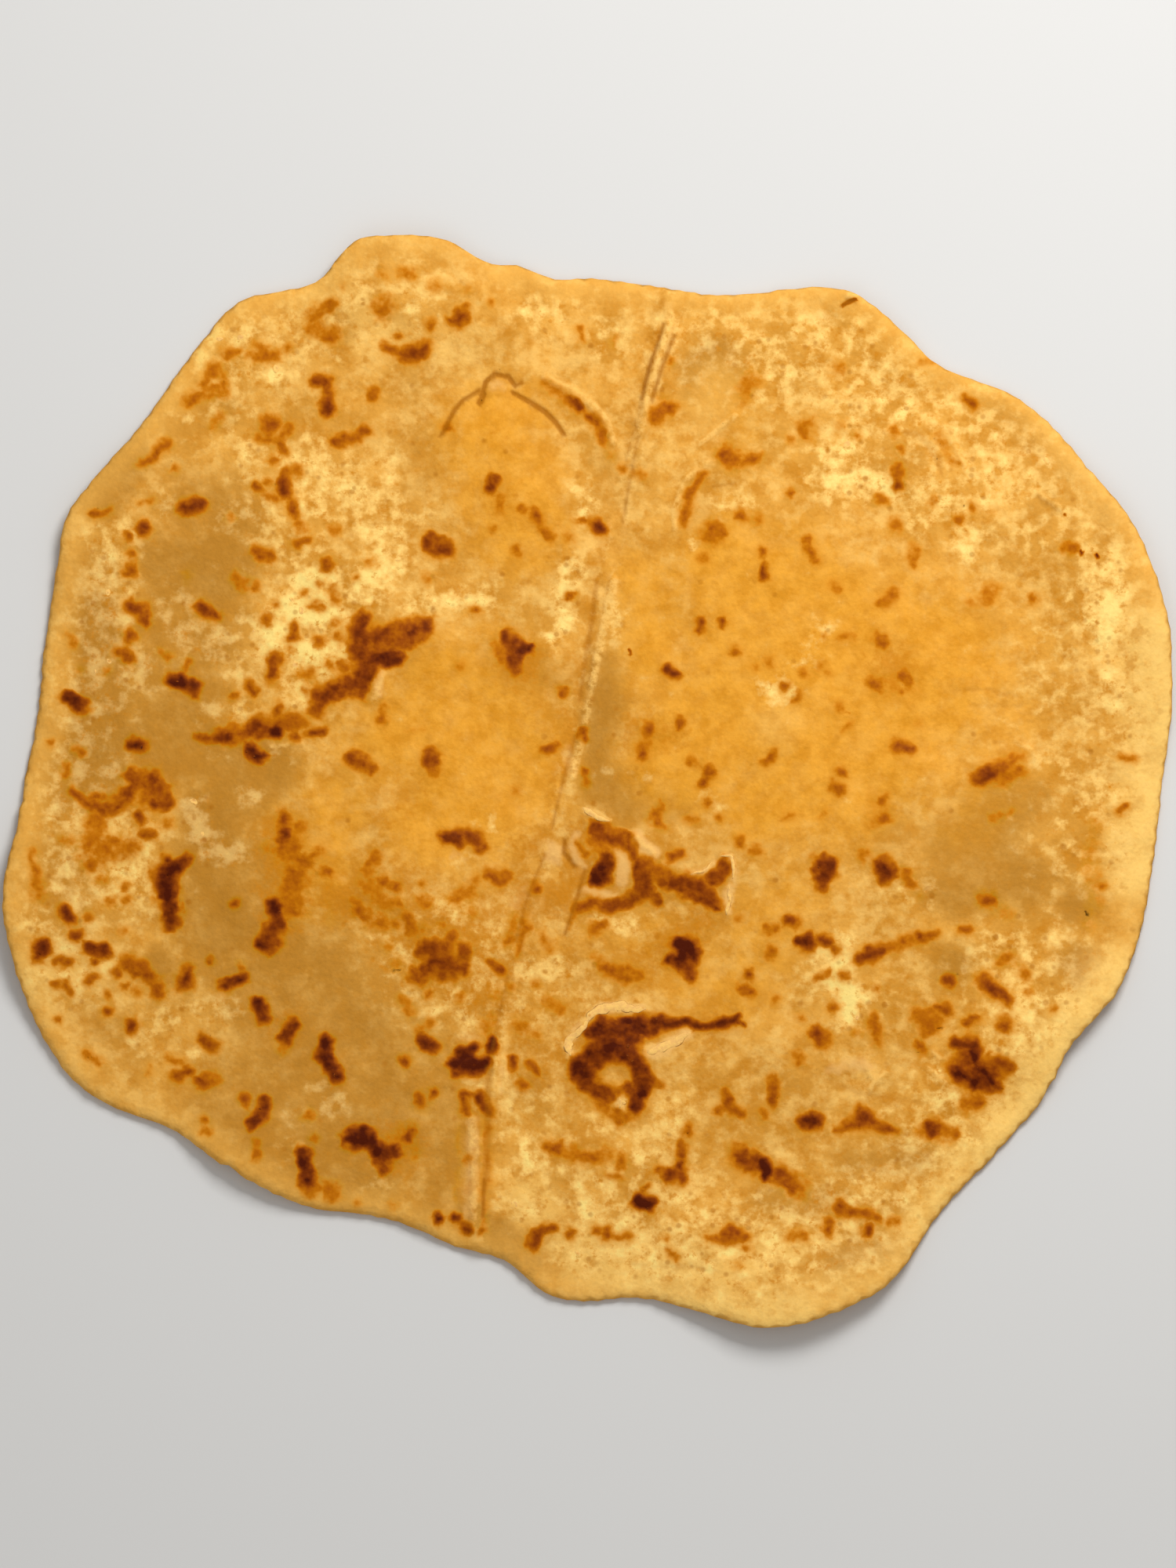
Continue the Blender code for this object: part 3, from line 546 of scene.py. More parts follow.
    (0.46, (-123, -47.3, 0.7), (-120.5, -47.2, 0.9), (-119, -48.6, 0.7)),
    (0.52, (-115.2, -46.2, 0.6), (-113, -45.2, 0.6)),
    (0.50, (-105.8, -41.3, 1.7), (-102.4, -43.6, 1.9), (-99.4, -46, 1.7), (-98.8, -49, 1.5)),
    (0.60, (-103.5, -43.9, 1.1)),
    (0.50, (-108.5, -43.8, 1.2)),
    (0.46, (-106, -46.8, 0.8)),
    (0.44, (-103.4, -48.2, 0.8)),
    (0.66, (-92, -43.6, 1.4), (-93.1, -46, 1.7)),
    (0.54, (-86.6, -41.3, 0.8)),
    (0.84, (-83.6, -47.2, 1.2), (-81.5, -45.9, 1.1), (-79.3, -45, 0.9)),
    (0.40, (-80, -42.6, 0.9)),
    (0.44, (-110.4, -49, 0.6)),
    (0.54, (-110.8, -52.8, 1.0)),
    (0.46, (-122, -54.6, 0.8)),
    (0.64, (-104.7, -55.9, 1.3)),
    (0.40, (-115.6, -62.8, 0.8), (-113, -64.6, 0.8)),
    (0.42, (-96.5, -63.6, 0.6), (-94, -64.6, 0.8)),
    (0.58, (-94.6, -67.6, 1.3), (-92, -66.8, 1.2)),
    (0.64, (-88.8, -69, 1.4), (-86.4, -68.9, 1.3)),
    (0.62, (-88.3, -59.4, 1.2), (-86, -61.6, 1.4)),
    (0.36, (-101, -66.5, 1.0)),
    (0.86, (-75.9, -51, 1.1), (-74.9, -54.5, 1.1)),
    (0.76, (-68.4, -56, 1.4), (-69.4, -59, 1.7)),
    (0.44, (-70, -61.6, 1.3)),
    (0.92, (-60.3, -59.4, 1.1), (-60.8, -62.6, 1.6), (-58.7, -66, 1.7), (-57.4, -68, 1.3)),
    (0.62, (-79, -73.4, 1.1)),
    (0.76, (-74.2, -74.5, 1.0), (-75.2, -77, 1.5), (-77, -79.6, 1.3)),
    (0.46, (-76.4, -84, 0.9), (-76.1, -87, 0.8)),
    (0.46, (-88.3, -78, 0.8)),
    (0.44, (-87.7, -81.4, 0.9)),
    (0.36, (-64.3, -77.6, 1.5)),
    (0.50, (-62.8, -82.6, 1.1)),
    (0.95, (-65.4, -86.4, 1.6), (-64.8, -89.4, 1.0), (-64.5, -92, 1.4)),
    (0.46, (-63, -94.2, 1.8)),
    (0.40, (-59, -95, 2.0)),
    (0.36, (-53, -97.6, 0.9)),
    (0.34, (-45, -97.8, 0.8)),
    (0.30, (-23.2, -79, 0.8), (-23.6, -92, 1.0), (-24.3, -104, 0.8)),
    (0.24, (-29.8, -80, 0.5), (-30.2, -97, 0.5)),
    (0.36, (-28, -88, 0.8)),
    (1.02, (-53.6, -82.6, 2.0), (-50.2, -83, 1.8), (-48, -85.4, 1.5)),
    (0.86, (-48, -85.4, 1.4), (-45, -85.8, 1.9)),
    (0.80, (-46.6, -86.8, 2.1)),
    (0.78, (-47.6, -88.4, 1.5), (-47, -90, 1.0)),
    (0.64, (-41, -80.4, 1.2), (-41.4, -82.4, 0.9)),
    (0.44, (-38.4, -73.6, 1.8)),
    (0.64, (-35.5, -72.3, 0.9)),
    (0.72, (-38, -59.5, 1.2), (-36.4, -61, 1.2)),
    (0.55, (-42, -64.5, 1.0)),
    (1.04, (-30.6, -65.2, 1.4), (-27.6, -64.6, 2.3), (-24.6, -64.8, 1.3)),
    (0.76, (-29.4, -61.6, 0.8), (-26.2, -60.8, 0.9)),
    (0.78, (-30.4, -66.8, 0.8), (-26, -66.6, 0.9)),
    (0.98, (-22.3, -59.4, 0.5), (-22.2, -61.2, 1.1)),
    (0.66, (-17, -63.4, 0.5), (-16.9, -66.4, 0.5)),
    (0.64, (-13.4, -64.8, 0.7), (-11.8, -66.6, 0.7)),
    (0.60, (-15, -70.3, 1.1)),
    (0.58, (-28.6, -72.4, 0.7), (-28.3, -76.2, 0.8)),
    (0.72, (-24.9, -72.2, 0.7), (-24.2, -75, 0.8), (-22.7, -76.8, 0.9)),
    (0.52, (-28.4, -72.6, 0.6), (-24.6, -72.6, 0.6)),
    (0.34, (-27.6, -87.2, 0.9)),
    (0.84, (-34.5, -101.3, 0.9)),
    (0.84, (-30.3, -101, 0.9)),
    (0.66, (-27.8, -103.5, 1.0)),
    (0.46, (-24.5, -104, 0.7)),
    # near middle
    (0.62, (-6.8, -85, 1.6)),
    (0.40, (-9, -84, 1.4), (-4, -86, 1.6), (1, -87, 1.6), (3.6, -86.4, 1.7)),
    (0.48, (7.8, -88, 1.5)),
    (0.36, (4.6, -91, 0.8), (7.4, -92, 0.7)),
    (0.55, (16.4, -89.5, 0.9)),
    (0.60, (18.2, -91.4, 1.2), (20.4, -89.6, 1.9), (21.4, -92, 1.0)),
    (0.58, (21.2, -86.4, 0.8), (21.9, -84.2, 0.8)),
    (0.78, (20.8, -89, 0.9)),
    (0.50, (22.8, -80.8, 1.2)),
    (1.04, (12, -97, 1.0), (14.4, -98, 1.1)),
    (0.42, (12.6, -95.4, 0.7), (13.4, -93.4, 0.6)),
    (0.64, (-12.6, -106.6, 1.4), (-10.6, -104.6, 1.1), (-8, -103.6, 0.7)),
    (0.56, (-4.5, -104.3, 1.0)),
    (0.74, (4.2, -105.3, 1.2)),
    (0.54, (1.6, -104, 0.7), (5, -105.3, 0.8), (9.4, -105.5, 0.6)),
    (0.34, (18, -106.3, 0.7)),
    (0.44, (18.8, -109.4, 0.8), (20, -111, 0.6)),
    (0.34, (34.3, -112.5, 0.8)),
    (0.45, (7, -78, 1.5)),
    (1.08, (21.8, -39, 3.0)),
    (0.90, (19.4, -40.4, 1.2)),
    (0.66, (23, -42.4, 1.6), (23.8, -45, 1.0)),
)


# The orange washes. Where the dough only just reached the griddle it is toasted, without an edge.

TOASTED = (
    (0.55, (-52, -24, 8), (-38, -34, 11), (-24, -46, 10)),
    (0.74, (-70, -12, 6), (-69, -22, 7), (-71, -32, 5)),
    (0.75, (-60, -26, 5), (-54, -28, 5)),
    (0.60, (-14, -14, 5)),
    (0.50, (-70, -56, 5)),
    (0.50, (28, -57, 5)),
    (0.68, (-1, -14, 6), (-1, -28, 5), (-14, -26, 6)),
    (0.66, (14, -42, 7), (26, -32, 4)),
    (0.45, (-14, -56, 5), (-12, -68, 5), (0, -56, 4)),
    (0.70, (-43, -84, 6)),
    (0.55, (-42, -22, 6), (-40, -30, 9), (-30, -38, 9), (-24, -30, 7)),
    (0.40, (-46, -8, 6), (-38, 2, 6)),
    (0.30, (-24, -14, 5)),
    (0.42, (-20, 66, 7), (-12, 62, 6)),
    (0.26, (-21, 80, 9)),
    (0.44, (-66, 26, 5), (-60, 29, 6), (-56, 24, 5)),
    (0.36, (-62, 36, 5), (-54, 40, 4)),
    (0.34, (-80, 12, 5), (-66, 13, 4)),
    (0.34, (-108, -8, 8), (-102, 2, 6)),
    (0.30, (-110, -16, 6)),
    (0.26, (-74, 104, 4), (-62, 109, 4)),
    (0.34, (-88, 94, 5)),
    (0.22, (-60, -62, 6)),
    (0.66, (12, 12, 5), (20, 12, 4)),
    (0.30, (29, 60, 4), (24, 68, 3)),
    (0.24, (34, 78, 5)),
    (0.75, (70, 27, 7)),
    (0.50, (-70, 28, 6)),
    (0.48, (-44, -42, 6)),
    (0.46, (0, -56, 7)),
    (0.46, (28, 84, 6)),
    (0.46, (-28, 124, 6)),
    (0.44, (56, -98, 6)),
    (0.40, (-112, 42, 6)),
    (0.46, (-42, -86, 6)),
    (0.40, (-14, -112, 6)),
    (0.95, (-16, 29, 5)),
    (0.36, (-10, 22, 5), (-8, 8, 5)),
    (0.62, (86, -68, 7)),
    (0.20, (66, -5, 5)),
    (0.24, (92, 45, 4)),
    (0.22, (96, 4, 5)),
    (0.34, (77, -54, 5), (78, -62, 4)),
    (0.34, (88, -66, 8)),
    (0.28, (94, -47, 5)),
    (0.28, (72, -38, 5)),
    (0.32, (116.5, -8, 1.5), (116, -14, 1.6), (115, -18.5, 1.6), (117.5, -24, 1.8), (115.5, -33, 1.5)),
    (0.30, (8, -20, 8), (20, -24, 6)),
    (0.34, (2, -36, 4), (-6, -48, 6), (-8, -58, 4)),
    (0.26, (-16, -34, 4), (-14, -46, 4)),
    (0.30, (6, -62, 9)),
    (0.28, (-50, -84, 5)),
    (0.26, (-64, -90, 4)),
    (0.30, (44, -91, 6)),
    (0.26, (62, -100, 5)),
    (0.26, (66, -79, 6)),
    (0.20, (0, -86, 6)),
    (0.22, (32, -106, 5)),
    (0.20, (38, -73, 5)),
    (0.20, (17, 88, 3), (18, 104, 3)),
)

# Dry dough. Where the fat did not run, the skin stays floury and cream, in lacy patches with ragged edges.

DRY = (
    (0.45, (96, 76, 18), (60, 100, 16), (22, 104, 12)),
    (0.30, (114, 34, 16), (114, -16, 16)),
    (0.40, (108, -40, 12), (104, -58, 14)),
    (0.50, (36, -108, 16), (74, -98, 16), (92, -66, 12)),
    (0.62, (2, -100, 8), (16, -112, 8)),
    (0.62, (54, -44, 6), (62, -50, 6)),
    (0.45, (-112, 44, 10), (-116, 0, 9), (-120, -44, 10)),
    (0.42, (-84, 94, 12), (-66, 108, 9), (-40, 114, 9)),
    (0.40, (-72, 72, 12), (-66, 40, 12)),
    (0.42, (-36, -42, 14), (-14, -46, 12)),
    (0.88, (-111, -43, 2.6)),
    (0.92, (-113, 28, 3.2)),
    (0.36, (-10, -92, 12), (-16, -72, 8)),
    (0.50, (2, -98, 12), (30, -110, 12), (14, -86, 8)),
    (0.50, (96, -44, 12), (104, -56, 10)),
    # left
    (0.90, (-90, 100, 2.2), (-85, 105.6, 2.6), (-78, 107, 2.6)),
    (0.62, (-84, 99, 2.5), (-74, 97, 3)),
    (0.62, (-73, 97, 5)),
    (0.50, (-91, 87, 3)),
    (0.95, (-65, 74, 1.8), (-66, 66, 1.8)),
    (0.58, (-66, 74, 9), (-56, 68, 10)),
    (0.66, (-78, 80, 3.5), (-78, 74, 4)),
    (0.66, (-84, 64, 2.4), (-73, 64, 2.6)),
    (0.58, (-98, 66, 3)),
    (0.60, (-114, 57, 3.5), (-104, 58, 3.5)),
    (0.62, (-110, 52, 6), (-110, 30, 6.5)),
    (0.60, (-52, 114, 5)),
    (0.95, (-65, 48, 4.5), (-61, 48, 5)),
    (0.90, (-48, 60, 3.6), (-46, 52, 4.5), (-52, 46, 4)),
    (0.62, (-47, 76, 3.4), (-45, 64, 3.6)),
    (0.62, (-38, 63, 2.4)),
    (0.66, (-84, 34, 6)),
    (0.62, (-92, 36, 5)),
    (0.58, (-95, 43, 4)),
    (1.00, (-68, 41, 6), (-62, 41, 6.5)),
    (1.00, (-65, 31, 6), (-59, 30, 5)),
    (0.95, (-66, 21, 4)),
    (1.00, (-73, 38, 4.5), (-72, 31, 4.5)),
    (0.62, (-80, 26, 3.5)),
    (0.70, (-105, 27, 6)),
    (0.58, (-113, 3, 3.4), (-107, 3, 3.4)),
    (0.60, (-118, 14, 5), (-118, 6, 5)),
    (0.58, (-120, 26, 4), (-120, 18, 4)),
    (0.60, (-87, 17, 2.6), (-79, 17, 2.6)),
    (0.62, (-88, 8, 1.4), (-84, 8, 1.4)),
    (0.62, (-71, 8, 2.4)),
    (0.66, (-114, -14, 10), (-106, -20, 10), (-104, -12, 7)),
    (0.60, (-122, -1, 5), (-122, -9, 5)),
    (0.95, (-90.6, -5, 2.2), (-89.2, -12, 2.2)),
    (0.98, (-88, -16, 1.9), (-81, -16, 1.7)),
    (0.80, (-79.6, -3.6, 1.0), (-76.8, -2.8, 1.2)),
    (0.62, (-118, -26, 8)),
    (0.58, (-127, -33, 5)),
    (0.60, (-124, -44, 7), (-116, -46, 7)),
    (0.56, (-92, -66, 4)),
    (0.58, (-88, -52, 3.6), (-82, -52, 3.6)),
    (0.60, (-60, -73, 4.5)),
    (0.58, (-67, -77, 2.2)),
    (0.62, (-67, -86, 3.4)),
    (0.60, (-48, -92, 3)),
    (0.46, (-103, -58, 5), (-96, -55, 4)),
    # along the fold
    (0.95, (-40, 41.5, 2), (-33, 43.5, 2), (-26, 43, 2), (-22, 44, 1.6)),
    (0.62, (-13, 112, 3.6), (-7, 112, 3.6)),
    (0.60, (-10, 108, 2.6)),
    (0.66, (5, 105, 4.2)),
    (0.95, (-1, 71, 1.6), (0, 66, 1.6), (-1, 63.5, 1.4)),
    (0.95, (-3, 52, 2.4), (-5, 48, 2.8), (-6, 44, 2.4), (-4, 40, 2.2), (-8, 35, 1.6)),
    (0.66, (6.5, 42, 1.3), (6.5, 34, 1.3)),
    (0.66, (31, 66, 2.6), (37, 66.5, 2.6)),
    (0.62, (24, 57, 1.8)),
    (0.62, (12.5, 2.5, 1.8)),
    (0.50, (5, 3, 2.6)),
    (0.70, (27, -2, 1.3), (30, -5, 1.3)),
    (0.98, (-34.6, -28.4, 2.2), (-30.4, -30.4, 2.8)),
    (0.80, (-22.4, -35.6, 1.8), (-20.4, -39.4, 2.0)),
    (0.80, (-27.4, -46.4, 1.6), (-24, -47.6, 1.8)),
    (0.74, (-28.4, -53.4, 2.4), (-26, -56, 1.8)),
    (0.70, (-35.4, -53.4, 2.0)),
    (0.66, (-45, -37, 1.8), (-42, -39, 1.2)),
    (0.66, (-7, -40.4, 2.4), (-4.4, -44, 2.0)),
    (0.60, (-38, -31, 1.2), (-36.6, -36, 1.0)),
    (0.66, (-25.5, -8.5, 1.3), (-22.5, -8.5, 1.3)),
    (0.62, (-30.5, -17, 1.3), (-27.5, -17, 1.3)),
    (0.50, (-33, -48, 4.5), (-26, -48, 5)),
    (0.90, (2, -31.2, 1.6), (5, -32, 1.8), (11, -31.6, 1.8)),
    (0.80, (-29, -69.6, 1.2), (-24, -69.4, 1.2)),
    (0.80, (17.4, -95.6, 2.4)),
    (0.42, (-14, -38, 3), (-10, -52, 3.4)),
    (0.95, (-14.5, -88, 2.2), (-10, -88, 2.2)),
    (0.62, (-15, -84, 3)),
    (0.62, (-17, -98, 4), (-13, -98, 4)),
    (0.62, (-2, -94, 3.6), (3, -94, 3.6)),
    (0.60, (4, -78, 3.6), (7, -78, 3.6)),
    (0.90, (7.5, -74.5, 1.3)),
    (0.66, (20, -72, 3)),
    (0.66, (20, -80, 3), (20, -76, 3)),
    (0.60, (-3, -110, 4), (12, -110, 4)),
    (0.58, (14, -115, 3.6), (26, -115, 3.6)),
    (0.92, (29.5, -109, 2.4), (36.5, -109, 2.4)),
    (0.62, (30, -120, 3.4), (40, -120, 3.4)),
    # right
    (0.62, (41.5, 113, 2.4), (46.5, 113, 2.4)),
    (0.60, (52, 108, 5)),
    (0.62, (68, 97, 4)),
    (0.62, (76, 97, 3.6), (81, 97, 3.6)),
    (0.66, (70, 101, 1.4), (74, 101, 1.4)),
    (0.66, (59, 86, 3.6), (63, 86, 3.6)),
    (0.72, (58, 78, 7)),
    (0.90, (54, 71.6, 3.4), (58, 71, 3.4), (70, 70, 3.4)),
    (0.66, (71, 88, 3.6), (79, 88, 3.6)),
    (0.62, (85, 90, 3.4)),
    (0.66, (93, 76, 5), (93, 68, 5)),
    (0.60, (105, 78, 5)),
    (0.60, (76, 69, 5), (86, 67, 5.5)),
    (0.66, (76, 62.5, 2.6), (80, 63, 2.6)),
    (0.95, (87, 59.5, 3), (88, 55, 2.6)),
    (0.45, (112, 68, 5.5)),
    (0.62, (120, 54, 7), (120, 46, 7)),
    (0.62, (101, 60, 2.8), (105, 60, 2.8)),
    (0.86, (120, 44, 5), (120, 36, 5)),
    (0.62, (122, 26, 5), (122, 18, 5)),
    (0.60, (125, 12, 4.2)),
    (0.48, (118, -3, 6)),
    (0.56, (120, -15, 4.6)),
    (0.60, (71, -25, 2.8), (77, -25, 2.8)),
    (0.80, (52, 34, 1.6), (56.4, 36.4, 1.7)),
    (0.74, (48, 28.4, 1.4), (52, 30.4, 1.4)),
    (0.92, (42.5, 22, 2.4), (45.5, 22, 2.6)),
    (0.74, (57, -40, 5)),
    (0.98, (57, -44, 4.6), (60, -50, 4), (60, -55, 3)),
    (0.60, (80, -66, 3.4)),
    (0.60, (99, -45, 4.6), (102, -45, 4.6)),
    (0.60, (98, -62, 5)),
    (0.58, (110, -53, 4), (110, -47, 4)),
    (0.92, (81, -94, 1.9), (83.5, -94, 1.9)),
)

# The pale border. Beyond the griddle's heat the thick edge stays light, most of all on the right and along
# the near edge. On the right side it is partly painted light as well, for the light that falls from there.

PALE_AND_LIT = (
    (0.9, (128, 34, 8), (131, 10, 8), (125, -20, 7)),
    (0.3, (108, 80, 6), (122, 54, 8)),
    (0.9, (120, -44, 7), (107, -66, 8), (93, -84, 8)),
    (0.5, (93, -84, 8), (76, -104, 7), (46, -125, 8)),
    (0.8, (46, -125, 8), (20, -123, 7)),
    (0.7, (-14, -96, 6), (2, -112, 8), (28, -113, 9), (44, -112, 8)),
    (0.5, (-72, 98, 6), (-60, 112, 8), (-30, 100, 8)),
    (0.5, (56, -43, 7)),
    (0.4, (84, -84, 7)),
    (0.5, (42, 14, 7)),
    (0.6, (-112, -42, 6), (-126, -44, 6)),
    (0.4, (-112, 56, 5)),
)

# Greasy dough. Fat that ran into the dough turns it a deep, even amber, mostly beside the fold.

OILY = (
    (0.95, (22, 8, 14), (38, 22, 22), (50, 40, 20), (34, 50, 14)),
    (0.90, (60, 30, 22), (80, 28, 18), (58, 6, 20), (40, -4, 12)),
    (0.50, (96, 34, 12), (94, 14, 14), (86, -4, 12)),
    (0.80, (12, 48, 8), (16, 30, 10)),
    (0.85, (-28, 8, 16), (-26, -4, 16), (-36, -10, 12)),
    (0.80, (-44, 10, 14), (-30, 24, 13), (-12, 12, 9), (-12, -4, 8)),
    (0.85, (-18, 72, 14), (-16, 60, 12), (-22, 84, 13)),
    (0.70, (-66, -10, 8), (-62, -22, 10), (-58, -4, 10)),
    (0.60, (14, -38, 10), (34, -48, 12), (44, -28, 12)),
    (0.60, (72, 48, 10), (84, 34, 10)),
    (0.50, (-14, 30, 8), (-24, 36, 8)),
    (0.55, (-24, -62, 5), (-23, -98, 3)),
    (0.55, (30, 92, 6), (36, 84, 6)),
)

# Dull dough. Where the dough lay thick, or off the griddle, it stays tan and a little grey. The same
# strokes also carry painted shade: the left half is darkened here for the light that falls off towards it.

DULL_AND_SHADED = (
    (0.70, (-88, 62, 16), (-92, 34, 16), (-98, 12, 13), (-84, 4, 12), (-82, -22, 16)),
    (1.00, (-112, 70, 7), (-106, 78, 5)),
    (1.00, (-113, 42, 5), (-112, 14, 8), (-113, 0, 8)),
    (0.80, (-42, -84, 6)),
    (1.00, (-56, -98, 5)),
    (0.60, (-14, -70, 5)),
    (0.50, (70, -98, 6), (56, -112, 5)),
    (0.80, (112, -42, 6)),
    (0.95, (28, 98, 8)),
    (0.90, (112, -28, 6)),
    (0.80, (-126, 14, 5)),
    (0.66, (84, 98, 5)),
    (0.60, (56, 112, 5)),
    (0.85, (-98, -42, 5)),
    (0.65, (-56, 0, 6)),
    (0.90, (-14, -112, 5), (-28, -100, 5)),
    (0.65, (42, -97, 6), (56, -97, 6)),
    (0.85, (84, -42, 6)),
    (0.55, (70, -14, 8), (70, 2, 8)),
    (0.50, (28, -14, 6)),
    (0.70, (-80, -34, 18), (-64, -52, 22), (-50, -76, 20), (-56, -92, 14), (-82, -74, 14)),
    (0.60, (-44, -60, 14), (-34, -80, 14), (-34, -94, 10)),
    (0.95, (-96, 52, 9), (-84, 52, 10)),
    (0.85, (-107, 12, 6), (-100, 12, 6)),
    (0.95, (-94, 8, 8), (-74, 4, 9)),
    (0.95, (-87, -6, 8), (-86, -24, 8), (-82, -34, 9)),
    (0.42, (-40, 80, 7), (-39, 72, 6)),
    (0.62, (-72, -44, 13), (-54, -48, 14), (-58, -62, 13)),
    (0.75, (-46, -68, 8), (-44, -78, 8)),
    (0.80, (2, 2, 7), (10, -3, 7), (20, -4, 5)),
    (0.90, (4, 28, 6), (3, 18, 6), (2, 10, 6)),
    (0.74, (98, -4, 10), (86, -14, 12), (101, -22, 9), (84, -24, 9)),
    (0.60, (60, -88, 6), (76, -88, 6)),
    (0.60, (56, -110, 5), (70, -108, 6)),
    (0.90, (-38, 27, 7), (-24, 26, 7), (-12, 27, 6)),
    (0.60, (-8, 25, 6)),
    (0.55, (4, 76, 5), (8, 68, 5)),
    (0.55, (75, 77, 3.5)),
    (0.45, (66, 75, 3)),
    (0.50, (-60, -26, 10)),
    (0.45, (-100, 84, 8), (-84, 90, 8)),
    (0.30, (-20, 104, 10), (-40, 96, 10)),
    (0.52, (92, 91, 5), (100, 84, 6), (112, 71, 6), (122, 58, 4)),
    (0.45, (104, 64, 5)),
    (0.50, (28, 84, 5)),
    (0.55, (111.5, -18, 2), (112, -33, 2)),
    (0.45, (109, -66, 3)),
    (0.50, (-114, -52, 8), (-104, -64, 6)),
    (0.56, (-114, 48, 9), (-114, 20, 9), (-120, 0, 7), (-118, -30, 9)),
    (0.48, (-46, 12, 11), (-28, 20, 12), (-14, 22, 8), (-8, 8, 5)),
    (0.26, (36, -66, 10), (60, -78, 6)),
)


# The fold and the wrinkles. The bread was folded in half hot and opened again, which left a crackled
# crease with a pinched ridge at each end. Ridges and grooves are strokes too: how strong, then the points.

RIDGES = (
    (0.45, (13, 90, 0.6), (15, 98, 0.8), (19, 108, 0.7)),
    (0.35, (9.5, 76, 0.7), (12.5, 86, 0.8), (13, 90, 0.6)),
    (0.30, (26, 80.5, 0.4), (34, 87, 0.4)),
    (0.28, (-26.5, -78, 0.8), (-26, -92, 0.9), (-26.5, -104, 0.6)),
    (0.25, (-21, -63, 0.45), (-21.4, -72, 0.45)),
    (0.22, (-19, -64, 0.4), (-19.2, -71, 0.4)),
    (0.25, (6, 48, 0.9), (4.4, 40, 0.9), (2.6, 32, 0.8), (1, 24, 0.7)),
    (0.22, (0.4, 20, 0.6), (-1.6, 10, 0.6), (-3.4, 2, 0.6)),
    (0.28, (68.5, -67.5, 0.4), (66, -69.5, 0.5), (63, -73, 0.4)),
    (0.24, (66, -69.5, 0.4), (64, -66, 0.3)),
    (0.24, (79, -62, 0.3), (81, -64, 0.4)),
    (0.20, (9.6, -11, 0.4), (12.6, -13.6, 0.8), (15.6, -16.6, 0.4)),
    (0.24, (78, -66, 0.3), (82, -69.5, 0.4)),
    (0.30, (-10, 96, 0.6), (-5, 93.6, 0.8), (0, 90, 0.9), (4, 86, 0.8), (5.8, 81, 0.6)),
    (0.24, (28, 76, 0.5), (22.6, 72, 0.6), (20, 65, 0.6), (20, 60, 0.4)),
    (0.20, (82.5, 84, 0.4), (85, 79, 0.5), (87, 75, 0.4)),
    (0.25, (103, 69, 0.5), (108.6, 65, 0.5)),
    (0.30, (60.4, 115, 0.8), (62, 115.4, 0.6)),
    (0.22, (98.5, 10.6, 0.5), (102.6, 8, 0.5), (104, 4, 0.4)),
    (0.18, (-49, 20, 1.2), (-48.4, 25, 1.4)),
    (0.20, (-73, 8.8, 0.5), (-66, 9.6, 0.5)),
)

# The finish darkens the grooves with painted shade.
GROOVES = (
    (0.60, (-34, 82, 0.3), (-32.5, 85, 0.4), (-31, 88, 0.4), (-29, 90.5, 0.4), (-25, 93, 0.35)),
    (
        0.75, (-24.6, 91.5, 0.35), (-23.6, 95, 0.35), (-21.6, 96.8, 0.3), (-18.4, 96.2, 0.3),
        (-16.8, 94, 0.35),
    ),
    (0.55, (-16.8, 94, 0.3), (-15.2, 94.8, 0.3)),
    (0.65, (-25, 90, 0.6), (-24, 92, 0.5)),
    (0.75, (-17.5, 92.5, 0.3), (-14, 90.5, 0.4), (-10, 88, 0.45), (-7.5, 85.5, 0.4), (-5.5, 82.5, 0.3)),
    (0.50, (12.4, 91, 0.35), (14, 98, 0.4), (17.4, 108.5, 0.3)),
    (0.50, (14.6, 90, 0.35), (17, 98, 0.4), (20, 106, 0.3)),
    (0.30, (29, 70.3, 0.3), (34, 71, 0.3)),
    (0.60, (58.6, 112.3, 0.3), (60, 113.4, 0.5), (61.8, 113.6, 0.3)),
    (0.26, (73.5, 83, 0.8), (76.5, 82.4, 1.1), (79, 79.8, 1.1), (81, 76, 0.8), (81.6, 73, 0.5)),
    (0.22, (104, 67.5, 0.4), (110, 63, 0.5)),
    (0.46, (-0.8, -20, 0.3), (-2.8, -27, 0.4), (-5.4, -35, 0.3)),
    (0.50, (-5.4, -12.6, 0.4), (-5.6, -15.4, 0.5), (-3, -19, 0.4)),
    (0.30, (-23, -66, 0.7), (-23, -80, 0.8), (-23.4, -92, 0.8)),
    (0.50, (-23.8, -92, 0.35), (-24.2, -101, 0.3)),
    (0.32, (2, 48, 0.5), (1, 40, 0.6), (-0.6, 30, 0.5), (-2, 20, 0.4)),
    (0.36, (-3, 12, 0.35), (-5.6, 2, 0.4), (-8.4, -10, 0.35)),
    (0.34, (-10, -16, 0.35), (-14, -26, 0.4), (-16.6, -36, 0.35)),
    (0.30, (-18.4, -44, 0.35), (-20.6, -54, 0.4), (-22, -62, 0.35)),
    (0.30, (8, 62, 0.35), (9.6, 72, 0.4), (11.6, 82, 0.35)),
    (0.18, (88, 18.6, 0.5), (100, 18.9, 0.5)),
    (0.22, (84, 22, 0.5), (92, 22.6, 0.5), (98, 21, 0.4)),
    (0.20, (48, -66, 0.5), (62, -72, 0.6), (76, -74, 0.5)),
    (0.16, (10, -112, 0.5), (26, -113, 0.6), (38, -116, 0.5)),
)


# Torn blisters. Two large blisters burst beside the fold: their tops are burnt nearly black, and their
# thin skin stands up in pale, dry lips.

